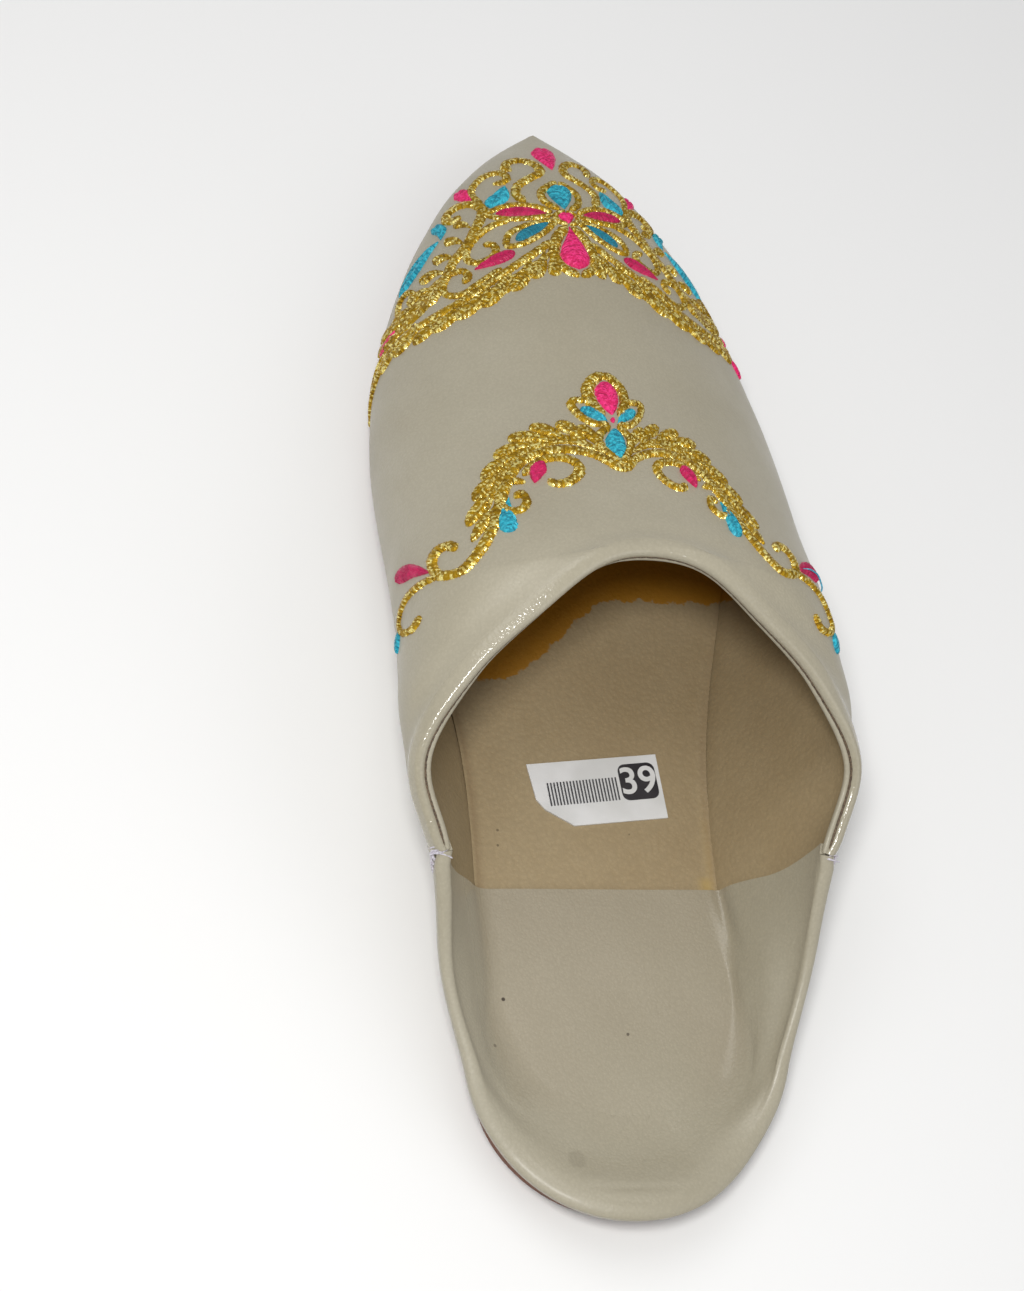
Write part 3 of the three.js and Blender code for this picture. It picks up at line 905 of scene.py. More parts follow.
def quarterInside(fine, rim, normals, roll, behind, thick):
    # The folded leather from under the roll: down the inside of the wall, round a corner and over
    # the footbed to the middle line. Gives the grid and how far out each column is, 0 to 1.
    fineColumns = quarterLook["fineColumns"]
    lean = quarterLook["slope"] * (1 - smooth(np.linspace(0, 1, fineColumns + 1), 0.35, 1.0))
    lean = lean * (1 - smooth(rim[:, 1], 50, 70))[:, None]
    inner = fine - (thick + lean)[..., None] * normals
    floorAt = last["foldTop"] - quarterLook["frontDrop"] * smooth(inner[:, 0, 1], 55, 71)
    extra = quarterLook["cornerReachAtBack"] * (1 - smooth(inner[:, 0, 1], 8, 52))
    reach = quarterLook["cornerReach"] + extra
    wallLow = columnAtHeight(inner, np.minimum(floorAt + reach * 0.75, inner[:, -1, 2] - 0.7))
    down = np.linspace(0, 1, quarterLook["insideSteps"] + 1)[None]
    inside = sampleColumns(inner, fineColumns + (wallLow[:, None] - fineColumns) * down)

    # Rounded corner, settled on the lifted edge of the footbed
    corner = sampleColumns(inner, columnAtHeight(inner, floorAt)[:, None])[:, 0]
    corner[:, 2] = floorAt
    planAhead = unit(np.gradient(corner, axis=0) * (1, 1, 0))
    planAhead[0] = (1, 0, 0)
    planIn = np.stack([-planAhead[:, 1], planAhead[:, 0], 0 * floorAt], -1)
    settled = corner + reach[:, None] * planIn
    edge = np.concatenate([settled, mirrored(settled)])[:, :2]
    lift = quarterLook["heelLift"] * np.concatenate([behind, behind])
    lifted = footbedLift(settled, edge, lift)
    slope = quarterLook["heelLift"] * behind**2 / quarterLook["liftReach"]
    settled[:, 2] += lifted
    hollow = corner + planIn * 0.3 * (reach - quarterLook["cornerReach"])[:, None]
    hollow[:, 2] += lifted + slope * (0.7 * reach + 0.84)
    t = np.linspace(0, 1, quarterLook["cornerSteps"] + 1)[None, 1:, None]
    curve = inside[:, -1:] * (1 - t) ** 2 + 2 * hollow[:, None] * t * (1 - t) + settled[:, None] * t**2

    # Towards the back the wall gives way to one soft sweep from the roll down to the footbed
    start = roll[:, -1]
    gap = np.linalg.norm((settled - start)[:, :2], axis=1)[:, None]
    leaving = unit(roll[:, -1] - roll[:, -2])
    wallCount = quarterLook["insideSteps"] + 1 + quarterLook["cornerSteps"]
    t = np.linspace(0, 1, wallCount + 1)[1:]
    cubic = np.stack([(1 - t) ** 3, 3 * t * (1 - t) ** 2, 3 * t**2 * (1 - t), t**3], 1)
    landing = settled - 0.7 * gap * planIn
    landing[:, 2] += 0.7 * gap[:, 0] * slope
    corners = np.stack([start, start + 0.3 * gap * leaving, landing, settled], 1)
    sweep = np.einsum("nk,rkc->rnc", cubic, corners)
    walls = np.concatenate([inside, curve], 1)
    walls = walls + (sweep - walls) * behind[:, None, None]

    # Rows of the footbed are spread evenly along the middle line, so none is a sliver at the back
    walked = np.concatenate([[0], np.cumsum(np.linalg.norm(np.diff(settled, axis=0), axis=1))])
    ahead = (settled[-1] - settled[0])[None] * (0, 1, 0)
    middle = settled[0] * (0, 1, 1) + ahead * (walked / walked[-1])[:, None]
    inwards = (np.linspace(0, 1, quarterLook["floorSteps"] + 1)[None, 1:, None]) ** 1.4
    footbed = settled[:, None] + (middle - settled)[:, None] * inwards
    footbed[..., 2] = last["foldTop"] - quarterLook["frontDrop"] * smooth(footbed[..., 1], 55, 71)
    footbed[..., 2] += footbedLift(footbed, edge, lift)
    return np.concatenate([walls, footbed], 1), np.concatenate([t**4, 1 - inwards[0, :, 0]])


def quarterPatches():
    # Each side is one strip: the outside of the wall, the roll, the inside and the footbed. The
    # right side's footbed is wider, and creases and unevenness are added to the leather indoors.
    fine, normals, outer = quarterWall()
    rim = outer[:, -1]
    behind = 1 - smooth(rim[:, 1], 6, 44)
    thick = quarterLook["thick"] + (quarterLook["thickAtBack"] - quarterLook["thick"]) * behind
    thick += (quarterLook["thickAtSeam"] - quarterLook["thick"]) * smooth(rim[:, 1], 45, 66)
    thick = thick[:, None]
    roll = rimRoll(fine, rim, normals, behind, thick)
    indoors, profile = quarterInside(fine, rim, normals, roll, behind, thick)
    # The front edge is cut straight across ahead of the seam and runs up to it at the rim
    forward = (last["foldFront"] - last["seam"]) * smooth(indoors[..., 1], 52, 70)
    forward = forward * smooth(indoors[..., 2], 38, 10)
    indoors[..., 1] += forward + 2.4 * smooth(indoors[..., 1], 60, 70) * smooth(indoors[..., 2], 20, 36)
    wider = quarterLook["rightWider"] * smooth(indoors[..., 1], 70, 50) * smooth(indoors[..., 1], 8, 26)
    sheets = [indoors, indoors + (wider * profile)[..., None] * (1, 0, 0)]
    full = np.stack([mirrored(sheets[0]), sheets[1]])
    relief = waves(full, 21, 30) * 0.26 + waves(full, 22, 12) * 0.07 - creaseDepth(full, quarterCreases)
    relief *= smooth(full[..., 2], 30, 14)
    facing = unit(np.cross(np.gradient(indoors, axis=0), np.gradient(indoors, axis=1)))
    facing = np.where(np.abs(facing).sum(-1, keepdims=True) > 0.5, facing, (0, 0, 1))
    facing[:, -quarterLook["floorSteps"]:] = (0, 0, 1)

    parts = []
    rollStart = outer.shape[1]
    for right in (False, True):
        sheet = sheets[right] + relief[int(right)][..., None] * facing
        sheet[:, -1, 0] = 0
        sheet[:, -1, 2] = indoors[:, -1, 2] + (relief[0][:, -1] + relief[1][:, -1]) / 2
        strip = np.concatenate([outer, roll, sheet], 1)
        strip[0, :, 0] = 0
        fromRoll = np.arange(strip.shape[1]) - rollStart - len(fine) / 2
        polish = np.broadcast_to(bell(fromRoll, 7.5), strip.shape[:2])
        within = np.zeros(strip.shape[:2])
        within[:, rollStart + len(fine):] = 1.0
        cut = smooth(strip[..., 1], 71.4, 72.8) * within
        glue = cut * (1.0 if right else 0.2) * smooth(strip[..., 2], 27, 34)
        if not right:
            strip = mirrored(strip)
        parts.append(patch(strip, flip=not right, roll=polish, inside=within, glue=glue))
    return parts


# Lining of the vamp: tan, with its folded edge as a thin ridge under the roll

liningLook = {
    "depth": 2.7,
    "wall": 0.7,
    "vampRows": 70,
    "columns": 48,
    "unevenness": 0.12,
    "end": 266,
    "footDrop": 1.2,  # the sheet runs down past the insole's top
    "light": (0.345, 0.268, 0.155),
    "deep": (0.308, 0.232, 0.128),
    # amber of the backing, darkened as painted shade under the vamp
    "backing": (0.36, 0.165, 0.012),
    # dark brown of the painted shade in the insole's edge creases
    "crease": (0.10, 0.035, 0.006),
    "glue": (0.45, 0.3, 0.07),
    "grain": 1150,
    "fineGrain": 2300,
    "grainDepth": 0.00016,
}


def liningPatches():
    # The leather's sections moved inwards, walked from the insole up to the topline.
    across = np.linspace(0, 1, liningLook["columns"] + 1)
    besideMouth = lastSections(mouthControls(mouthAngles), across)
    stations = np.linspace(last["throat"], liningLook["end"], liningLook["vampRows"] + 1)
    whole = np.concatenate([besideMouth, lastSections(vampControls(stations), across)[1:]])
    depth = liningLook["depth"] + liningLook["unevenness"] * waves(whole, 31, 16)
    sheet = easedBack(whole) - depth[..., None] * sectionNormals(whole)
    sheet[..., 0] = np.maximum(sheet[..., 0], 0)
    sheet[:, 0, 2] = last["insoleTop"] + springAt(whole[:, 0, 1]) - liningLook["footDrop"]
    return bothSides(patch(sheet, flip=True))


def liningMaterial(name, insole=False):
    # Pebbled tan sheet. Past an edge, ragged by noise and further forward on the left, the amber backing
    # shows, darkened as painted shade under the vamp. The insole also has painted shade in its edge
    # creases, glue and specks.
    material, tree, shader = newMaterial(name)
    place = objectPlace(tree)
    grain = pebbles(tree, place, liningLook["grain"], liningLook["fineGrain"], 0.5)
    mottle = noise(tree, place, 24, 4, 0.6)
    tone = mixColour(tree, spread(tree, mottle, 0.3, 0.7), liningLook["light"], liningLook["deep"])
    tone = shaded(tree, tone, spread(tree, grain, 0.2, 0.95, 1.03, 0.93))
    axes = addNode(tree, "SeparateXYZ", {"Vector": place}).outputs
    ragged = maths(tree, "SUBTRACT", noise(tree, place, 260, 3, 0.7), 0.5)
    raggedEdge = maths(tree, "MULTIPLY_ADD", ragged, 0.006, axes["Y"])
    slanted = maths(tree, "MULTIPLY_ADD", spread(tree, axes["X"], -0.02, 0.012), -0.021, raggedEdge)
    # painted shade: past the ragged edge the lining turns to the dark amber of the backing in the vamp's
    # shadow
    tone = mixColour(tree, spread(tree, slanted, -0.0142, -0.0134), tone, liningLook["backing"])
    if insole:
        # painted shade in the creases along the insole's edges
        tone = tinted(tree, 0.85, valueOf(tree, "crease"), tone, liningLook["crease"])
        tone = tinted(tree, 0.7, valueOf(tree, "glue"), tone, liningLook["glue"])
        tone = specks(tree, place, tone, insoleSpecks)
    tree.links.new(tone, shader.inputs["Base Color"])
    rough = spread(tree, noise(tree, place, 130, 3), 0.3, 0.7, 0.5, 0.72)
    tree.links.new(rough, shader.inputs["Roughness"])
    broad = bump(tree, noise(tree, place, 55, 3), 0.3, 0.0012)
    tree.links.new(bump(tree, grain, 0.6, liningLook["grainDepth"], broad), shader.inputs["Normal"])
    shader.inputs["Specular IOR Level"].default_value = 0.35
    return material


# Insole: the tan board inside, and the marks on it

insoleLook = {
    "rows": 150,
    "columns": 60,
    "wall": 1.3,
    "inset": 1.7,
    "start": 12,
    "end": 256,
    "heelRound": 2.5,
    "edgeRise": 0.5,
    "edgeReach": 1.3,
    "blob": (25, 74.6),  # a drop of glue, x and station
}


def insolePatches():
    # Flat sheet inside the outline, rounded at the heel and raised a little along its edge, with the
    # strengths of the painted shade in its edge creases and of its glue by the distance from that edge.
    stations = np.linspace(insoleLook["start"], insoleLook["end"], insoleLook["rows"] + 1)
    half = along(outline, "foot", stations) - insoleLook["inset"]
    heelLength = last["heelArcEnd"] - last["heelBack"] - insoleLook["heelRound"]
    heelTurn = np.clip((last["heelArcEnd"] - stations) / heelLength, 0, 1)
    half = half * np.sqrt(1 - heelTurn**2 * 0.96)
    share = np.linspace(-1, 1, insoleLook["columns"] + 1)[None]
    x = half[:, None] * share
    station = stations[:, None] + 0 * x
    points = np.stack([x, station, last["insoleTop"] + springAt(station)], -1)
    distance = (1 - np.abs(share)) * half[:, None]
    raised = insoleLook["edgeRise"] * bell(distance, insoleLook["edgeReach"])
    points[..., 2] += raised + waves(points, 41, 24) * 0.12
    onLeft = share < 0
    onRight = share > 0
    # painted shade in the creases along the insole's edge, where it meets the lining
    leftCreaseShade = 0.35 * bell(distance - 1.2, 0.6) * onLeft
    crease = np.maximum(leftCreaseShade, 0.55 * bell(distance - 0.5, 0.4) * onRight)
    smear = 0.3 * bell(distance - 1.2, 0.9) * onRight * smooth(station, 104, 76)
    blobX, blobStation = insoleLook["blob"]
    blob = 0.9 * bell(np.hypot(x - blobX, station - blobStation), 1.6)
    return [patch(points, flip=True, crease=crease, glue=np.maximum(smear, blob))]


# Sole: one flat plate with a softened edge and a slight hollow under the waist

soleLook = {
    "margin": 0.8,
    "bevel": 0.7,
    "brown": (0.205, 0.068, 0.026),
    "dark": (0.115, 0.038, 0.016),
    "tread": (0.15, 0.055, 0.025),
}


def solePatches():
    # Profile of the plate's edge carried round the outline, closed on the middle line.
    arc = heelControls(np.linspace(0, 90, 41))[:, 0, :2]
    sides = np.linspace(last["heelArcEnd"], last["tip"], 151)[1:]
    line = np.concatenate([arc, stacked(along(outline, "foot", sides), sides)])
    ahead = unit(np.gradient(line, axis=0))
    ahead[0] = (1, 0)
    out = np.stack([ahead[:, 1], -ahead[:, 0]], -1)
    line = line + soleLook["margin"] * out
    line[-1] = (soleLook["margin"], last["toePoint"])
    arch = np.clip((line[:, 1] - last["archStart"]) / (last["archEnd"] - last["archStart"]), 0, 1)
    bottom = springAt(line[:, 1]) + last["archHeight"] * np.sin(np.pi * arch) ** 2
    top = last["soleTop"] + springAt(line[:, 1])
    bevel = soleLook["bevel"]
    profile = [(-3.0, top), (-1.2, top), (-0.25, top - 0.02), (-0.06, top - 0.12), (0.0, top - 0.35)]
    for k in range(1, 6):
        bulge = 0.06 * math.sin(math.pi * k / 5)
        profile.append((bulge, top - 0.35 + (bottom + bevel - top + 0.35) * k / 5))
    profile += [(-bevel * 0.3, bottom + bevel * 0.3), (-bevel, bottom), (-2.2, bottom), (-5.0, bottom)]
    columns = []
    for inset, height in profile:
        columns.append(np.concatenate([line + inset * out, height[:, None] + 0 * line[:, :1]], 1))
    edge = np.stack(columns, 1)
    edge[..., 0] = np.maximum(edge[..., 0], 0)
    edge[0, :, 0] = 0
    steps = np.linspace(0, 1, 13)[None, :, None]
    topMiddle = edge[:, :1] * (0, 1, 1)
    under = edge[:, -1:] * (0, 1, 1)
    topSheet = topMiddle + (edge[:, :1] - topMiddle) * steps
    underSheet = edge[:, -1:] + (under - edge[:, -1:]) * steps
    whole = np.concatenate([topSheet, edge[:, 1:-1], underSheet], 1)
    rub = np.zeros(whole.shape[:2])
    rub[:, -14:] = 1.0
    front = whole[-1:]
    closed = np.concatenate([front, front * (0, 1, 1)])
    return bothSides(patch(whole, flip=True, under=rub)) + bothSides(patch(closed, flip=True))


def soleMaterial():
    # Brown composition sole: fine grain, rubbed edge, and faint ribs and scuffs underneath.
    material, tree, shader = newMaterial("brown sole")
    place = objectPlace(tree)
    layered = noise(tree, objectPlace(tree, scale=(1, 1, 9)), 240, 4, 0.6)
    fine = noise(tree, place, 1900, 3)
    tone = mixColour(tree, spread(tree, layered, 0.3, 0.7), soleLook["dark"], soleLook["brown"])
    under = valueOf(tree, "under")
    scuffs = noise(tree, objectPlace(tree, scale=(3, 1, 1)), 46, 5, 0.7)
    worn = maths(tree, "MULTIPLY", spread(tree, scuffs, 0.5, 0.72, 0.0, 0.55), under)
    tone = mixColour(tree, maths(tree, "MULTIPLY", under, 0.7), tone, soleLook["tread"])
    tone = mixColour(tree, worn, tone, (0.30, 0.19, 0.12))
    tree.links.new(tone, shader.inputs["Base Color"])
    tree.links.new(spread(tree, layered, 0.3, 0.7, 0.48, 0.7), shader.inputs["Roughness"])
    slanted = objectPlace(tree, rotation=(0, 0, math.radians(45)))
    ribs = addNode(
        tree,
        "TexWave",
        {"Vector": slanted, "Scale": 95, "Distortion": 0.4},
        wave_type="BANDS",
        bands_direction="X",
        wave_profile="SIN",
    ).outputs["Fac"]
    ribbed = bump(tree, maths(tree, "MULTIPLY", ribs, under), 0.6, 0.0005)
    tree.links.new(bump(tree, fine, 0.35, 0.0001, ribbed), shader.inputs["Normal"])
    return material


print("leather, lining and sole")
vampLeather = creamLeather("cream leather")
quarterLeather = creamLeather("cream leather of the footbed", stained=True)
tanLining = liningMaterial("tan lining")
tanInsole = liningMaterial("tan insole", insole=True)
vampPiece = buildPiece(
    "vamp", vampPatches(), vampLeather, wall=vampLook["wall"]
)
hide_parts("upper")
quarterPiece = buildPiece(
    "heel_quarter", quarterPatches(), quarterLeather, wall=quarterLook["wall"]
)
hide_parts("heel_fold")
buildPiece("vamp_lining", liningPatches(), tanLining, wall=liningLook["wall"])
insolePiece = buildPiece(
    "insole_board", insolePatches(), tanInsole, wall=insoleLook["wall"]
)
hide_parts("insole")
solePiece = buildPiece("sole_plate", solePatches(), soleMaterial(), outwards=True)
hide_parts("outsole")


# Edge of the lining and the stitched groove, carried along the topline

edgeLook = {
    "ridge": {"out": 0.25, "down": 3.0, "radius": 0.72},
    "groove": {"out": 0.72, "down": 2.28, "radius": 0.34},
    "stitch": 2.1,  # length of one stitch in the groove
}

finishedRim = easedBack(lastRim) + vampRelief(lastRim)[:, None] * rimNormal
halfPath = np.stack([finishedRim, rimNormal, rimOut], 1)
leftPath = halfPath * (-1, 1, 1)
edgePath = np.concatenate([leftPath, halfPath[-2::-1]])
fineShare = np.linspace(0, len(edgePath) - 1, 900)
edgePath = sampleColumns(edgePath.reshape(1, len(edgePath), 9), fineShare[None])[0].reshape(-1, 3, 3)
edgeLength = np.concatenate([[0], np.cumsum(np.linalg.norm(np.diff(edgePath[:, 0], axis=0), axis=1))])


def carriedEdge(out, down, radius, sides):
    # Circle in the plane of the outward and normal directions, carried along the topline.
    point, normal, outwards = edgePath[:, 0], edgePath[:, 1], edgePath[:, 2]
    centre = point + out * outwards - down * normal
    turn = np.linspace(0, 2 * np.pi, sides, endpoint=False)[None, :, None]
    radius = np.broadcast_to(radius, len(centre))[:, None, None]
    return centre[:, None] + radius * (np.cos(turn) * outwards[:, None] + np.sin(turn) * normal[:, None])


def plainThread(name, colour, deep, roughness=0.6):
    # Spun thread: strands wound across the length, with painted shade in the grooves, so the top of each
    # turn is lighter.
    material, tree, shader = newMaterial(name)
    place = objectPlace(tree)
    strands = noise(tree, place, 2600, 2)
    # painted shade: the low parts of the strands' bump take the deep colour
    tone = mixColour(tree, spread(tree, strands, 0.35, 0.65), deep, colour)
    tree.links.new(tone, shader.inputs["Base Color"])
    tree.links.new(bump(tree, strands, 0.6, 0.0001), shader.inputs["Normal"])
    shader.inputs["Roughness"].default_value = roughness
    shader.inputs["Sheen Weight"].default_value = 0.15
    return material


def edgePatch(look, pull=1.0, sides=10):
    # Round cord with closed ends, thinner where the stitches pull it in.
    ring = carriedEdge(look["out"], look["down"], look["radius"] * pull, sides)
    return patch(ring, wrap=True, caps=True)


ridgePart = edgePatch(edgeLook["ridge"])
buildPiece("lining_edge", [ridgePart], creamLeather("cream edge"), outwards=True)
pull = np.abs(np.sin(np.pi * edgeLength / edgeLook["stitch"])) ** 0.5
groovePart = edgePatch(edgeLook["groove"], 0.7 + 0.3 * pull, 8)
brownThread = plainThread("brown thread", (0.13, 0.085, 0.045), (0.05, 0.03, 0.015))
buildPiece("topline_stitching", [groovePart], brownThread, outwards=True)


# Side seams: stitches down the join, and a bar tack of loose thread at each topline corner

seamLook = {"stitches": 11, "radius": 0.28, "tackThreads": 9, "tackRadius": 0.13}


def threadPatch(path, radius, sides):
    # Round thread with closed ends.
    return patch(roundTube(path, radius, sides), wrap=True, caps=True)


def seamPatches():
    # Short threads laid across the join, then a fan of fine threads at the top of it.
    random = np.random.default_rng(8)
    controls = sideControls(np.array([last["seam"] - 0.02]))
    wall = bezier(controls, np.linspace(0.06, 0.97, seamLook["stitches"]))[0]
    outward = unit(np.stack([np.ones(len(wall)), 0 * wall[:, 0], 0.25 + 0 * wall[:, 0]], -1))
    parts = []
    for point, normal in zip(wall, outward):
        t = np.linspace(-1, 1, 7)[:, None]
        path = point + t * (0, 1.25, 0.15) + (0.18 - 0.5 * t**2) * normal
        for side in (1, -1):
            parts.append(threadPatch(path * (side, 1, 1), seamLook["radius"], 6))
    top = lastRim[0]
    for side in (1, -1):
        for k in range(seamLook["tackThreads"] if side < 0 else 3):
            astray = random.normal(size=3) * (0.6, 0.9, 0.5)
            t = np.linspace(0, 1, 8)[:, None]
            start = top + (0.6, -0.8 + 0.2 * k, 0.0) + 0.3 * astray
            end = top + (-3.4, -0.9 + 0.25 * k, -0.2) - 0.4 * astray
            over = np.array([0.0, 0.0, 1.9]) + astray * 0.5
            path = start * (1 - t) ** 2 + 2 * (0.5 * (start + end) + over) * t * (1 - t) + end * t**2
            parts.append(threadPatch(path * (side, 1, 1), seamLook["tackRadius"], 5))
    return parts


tackThread = plainThread("pale thread", (0.62, 0.6, 0.66), (0.42, 0.38, 0.44))
buildPiece("side_seam_stitches", seamPatches(), tackThread, outwards=True)


# Embroidery: satin-stitch ribbons laid on the leather. Each ribbon is a smooth line through
# (u, v) points with a greatest width: round the skin from the crest, and along the shoe.

stitchLook = {
    "step": 0.21,  # rows lie this far apart
    "thread": 0.42,  # width of a thread, and length of the dashes in which it glints
    "dash": 0.45,
    "columns": 7,
    "base": 0.12,
    "rise": 0.34,  # height of the crown, with a share of the width
    "riseShare": 0.1,
    "ridge": 0.05,
    "ragged": 0.2,
}


def smoothLine(points, step):
    # Catmull-Rom curve through the points, then even steps along it.
    points = np.asarray(points, float)
    if len(points) == 2:
        dense = points[0] + (points[1] - points[0]) * np.linspace(0, 1, 60)[:, None]
    else:
        ends = np.concatenate([2 * points[:1] - points[1:2], points, 2 * points[-1:] - points[-2:-1]])
        t = np.linspace(0, 1, 24, endpoint=False)[None, :, None]
        a, b, c, d = (ends[k : len(ends) - 3 + k, None] for k in range(4))
        square = 2 * a - 5 * b + 4 * c - d
        cube = 3 * b - a - 3 * c + d
        curve = 0.5 * (2 * b + (c - a) * t + square * t**2 + cube * t**3)
        dense = np.concatenate([curve.reshape(-1, 2), points[-1:]])
    length = np.concatenate([[0], np.cumsum(np.linalg.norm(np.diff(dense, axis=0), axis=1))])
    even = np.linspace(0, length[-1], max(6, int(length[-1] / step) + 1))
    return np.stack([np.interp(even, length, dense[:, k]) for k in range(2)], -1), even


def ribbonPatch(ribbon, side, number, random, fuller, shift):
    # Crowned band across the line. Every other row is lower, so threads lie side by side;
    # split bands have a furrow along the middle and threads that slant away from it.
    # The longest lines end sooner on the right.
    whole = side < 0 or "centre" in ribbon
    drawn = [point for point in ribbon["line"] if whole or point[0] < shift["reach"]]
    line, length = smoothLine(drawn, stitchLook["step"])
    width = ribbon["width"] * fuller
    ahead = unit(np.gradient(line, axis=0))
    left = np.stack([-ahead[:, 1], ahead[:, 0]], -1)
    share = length / length[-1]
    fullest = ribbon.get("fullest")
    if fullest is None:
        ends = np.minimum(length, length[-1] - length) / (0.6 * width)
        profile = np.sqrt(np.clip(ends, 0.02, 1))
    else:
        power = math.log(0.5) / math.log(fullest)
        profile = np.clip(np.sin(np.pi * share**power), 0, 1) ** ribbon.get("blunt", 0.65)
        profile = np.maximum(profile, 0.06)
    count = len(line)
    odd = (np.arange(count) % 2) * 2.0 - 1
    ragged = 1 + stitchLook["ragged"] * (0.5 * odd + random.uniform(-1, 1, count)) * min(1, 1.4 / width)
    half = width / 2 * profile * ragged
    split = fullest is not None and width > 2.6
    columns = 9 if split else stitchLook["columns"]
    across = np.linspace(-1, 1, columns)
    slant = 0.45 if split else 0.2
    sideways = across * half[:, None]
    forwards = slant * np.abs(across) * half[:, None]
    u = line[:, 0, None] + sideways * left[:, 0, None] + forwards * ahead[:, 0, None]
    v = line[:, 1, None] + sideways * left[:, 1, None] + forwards * ahead[:, 1, None]
    crown = np.sqrt(1 - across**2)
    rise = (stitchLook["rise"] + stitchLook["riseShare"] * width) * np.sqrt(profile)
    height = stitchLook["base"] + rise[:, None] * crown
    height = height + stitchLook["ridge"] * odd[:, None] * (0.35 + crown)
    if split:
        height -= 0.32 * bell(sideways, 0.3) * np.minimum(1, half[:, None])
    height += 0.02 * random.normal(size=height.shape) + 0.03 * (number % 5)
    if ribbon.get("low"):
        height = 0.45 * height
    if ribbon.get("high"):
        height += 0.35
    height[:, [0, -1]] = -0.12
    u = u * side
    u = u - shift["narrow"] * np.sign(u) * bell(np.abs(u) - 29, 13)
    u = u - shift["middle"] * (1 - smooth(v, 150, 172)) - shift["twist"] * np.abs(u)
    v = v + shift["rise"] * np.maximum(u - 30, 0) + shift["leftRise"] * np.maximum(-u - 46, 0)
    points, normals = onVamp(u, v)
    alongMap = length[:, None] + 37.0 * number + 0 * across
    stitchMap = np.stack([alongMap, sideways + 5.0 * number], -1)
    # share of painted shade on this ribbon: its thread is drawn darker and with fewer glints
    dull = ribbon.get("dull", 0.0)
    return patch(points + height[..., None] * normals, wrap=True, caps=True, uv=stitchMap, dull=dull)


def stem(line, width, **settings):
    # Ribbon of one width with short rounded ends.
    return {"line": line, "width": width, **settings}


def leaf(line, width, fullest, **settings):
    # Ribbon that swells from a point and back to one. fullest is where its widest place is, 0 at
    # the start and 1 at the end; blunt rounds its ends.
    return {"line": line, "width": width, "fullest": fullest, **settings}


goldBand = [
    stem(
        [(0, 147.6), (4, 152), (8.5, 154), (13.5, 154.3), (17.5, 153), (21.5, 149.8), (24.5, 144.5),
         (27, 138), (29, 132.5), (32, 127), (36, 123), (40.5, 124.3), (41.5, 128), (40, 130.7),
         (37.4, 131), (36.4, 129)],
        1.9,
    ),
    leaf([(3.2, 153.5), (4.6, 158), (7.4, 161.6)], 2.6, 0.7),
    leaf([(5.6, 155), (7.8, 159.5), (11.5, 163)], 2.8, 0.68),
    leaf([(9, 155.6), (12.5, 159.6), (17.3, 162)], 2.9, 0.68),
    leaf([(12, 156), (17, 158.6), (22.2, 158.6)], 2.9, 0.66),
    leaf([(15.5, 155.6), (20.5, 156), (25.6, 153.4)], 2.8, 0.66),
    leaf([(19, 153.4), (24, 152), (28.8, 147.4)], 2.7, 0.66),
    leaf([(22.2, 150), (27, 147), (31.2, 141.8)], 2.5, 0.66),
    leaf([(25, 145), (29.4, 141), (33.4, 134.8)], 2.3, 0.66),
    leaf([(27.2, 139), (30.2, 135), (33.2, 130)], 1.8, 0.6),
    stem(
        [(20.5, 147), (18.2, 149.4), (15, 151.6), (11.2, 151.6), (8.8, 149.6), (9, 146.8),
         (11.3, 144.3), (14, 143.8), (15.5, 145.2)],
        1.8,
    ),
    stem(
        [(20.2, 145), (23, 145.6), (25.6, 143.6), (26.4, 140), (25, 137), (22.6, 136.8), (21, 139),
         (21.6, 141.6), (23.4, 140.6)],
        1.5,
    ),
    stem(
        [(40.5, 124.2), (46, 123), (51.6, 120.6), (55.6, 117), (53.5, 113.6), (49, 112.8),
         (46, 115.4)],
        1.4,
    ),
    stem([(-0.9, 178.1), (1.8, 177.2), (3.9, 173.6), (3.8, 169.2), (1.8, 165)], 2.1),
    stem([(3.6, 169.8), (7.7, 169.6), (7.3, 166.2), (4.4, 162.6), (1, 162.4)], 1.4),
    stem([(0.8, 162), (3.2, 159), (3.2, 155.4), (-0.2, 149.4)], 1.5),
    leaf(
        [(3, 153.6), (8, 157), (13, 157.6), (18, 156.2), (22.6, 152.4), (26.2, 147.2), (28.8, 141),
         (31, 134)],
        3.2, 0.45, low=True,
    ),
]

pinkBand = [
    leaf([(0, 165.6), (0, 176)], 4.8, 0.5, blunt=0.6, centre=True),
    leaf([(18.4, 144.6), (17.4, 147.6), (15.6, 150.4)], 3.1, 0.5, high=True, dull=0.7),
    leaf([(42.2, 125.8), (47.5, 128), (53.5, 128.2)], 4.2, 0.55, dull=1.0),
    leaf([(0, 163), (0, 164.6)], 1.1, 0.5, centre=True),
]

turquoiseBand = [
    leaf([(1.1, 162.8), (3.6, 165.6), (6.1, 167.4)], 2.9, 0.55),
    leaf([(0, 161), (0, 152)], 4.4, 0.45, centre=True),
    leaf([(24.4, 141), (25.6, 136), (26, 130.6)], 3.6, 0.66, blunt=0.6),
    leaf([(55.6, 115), (57, 112.6), (58.5, 110)], 3.2, 0.5),
]

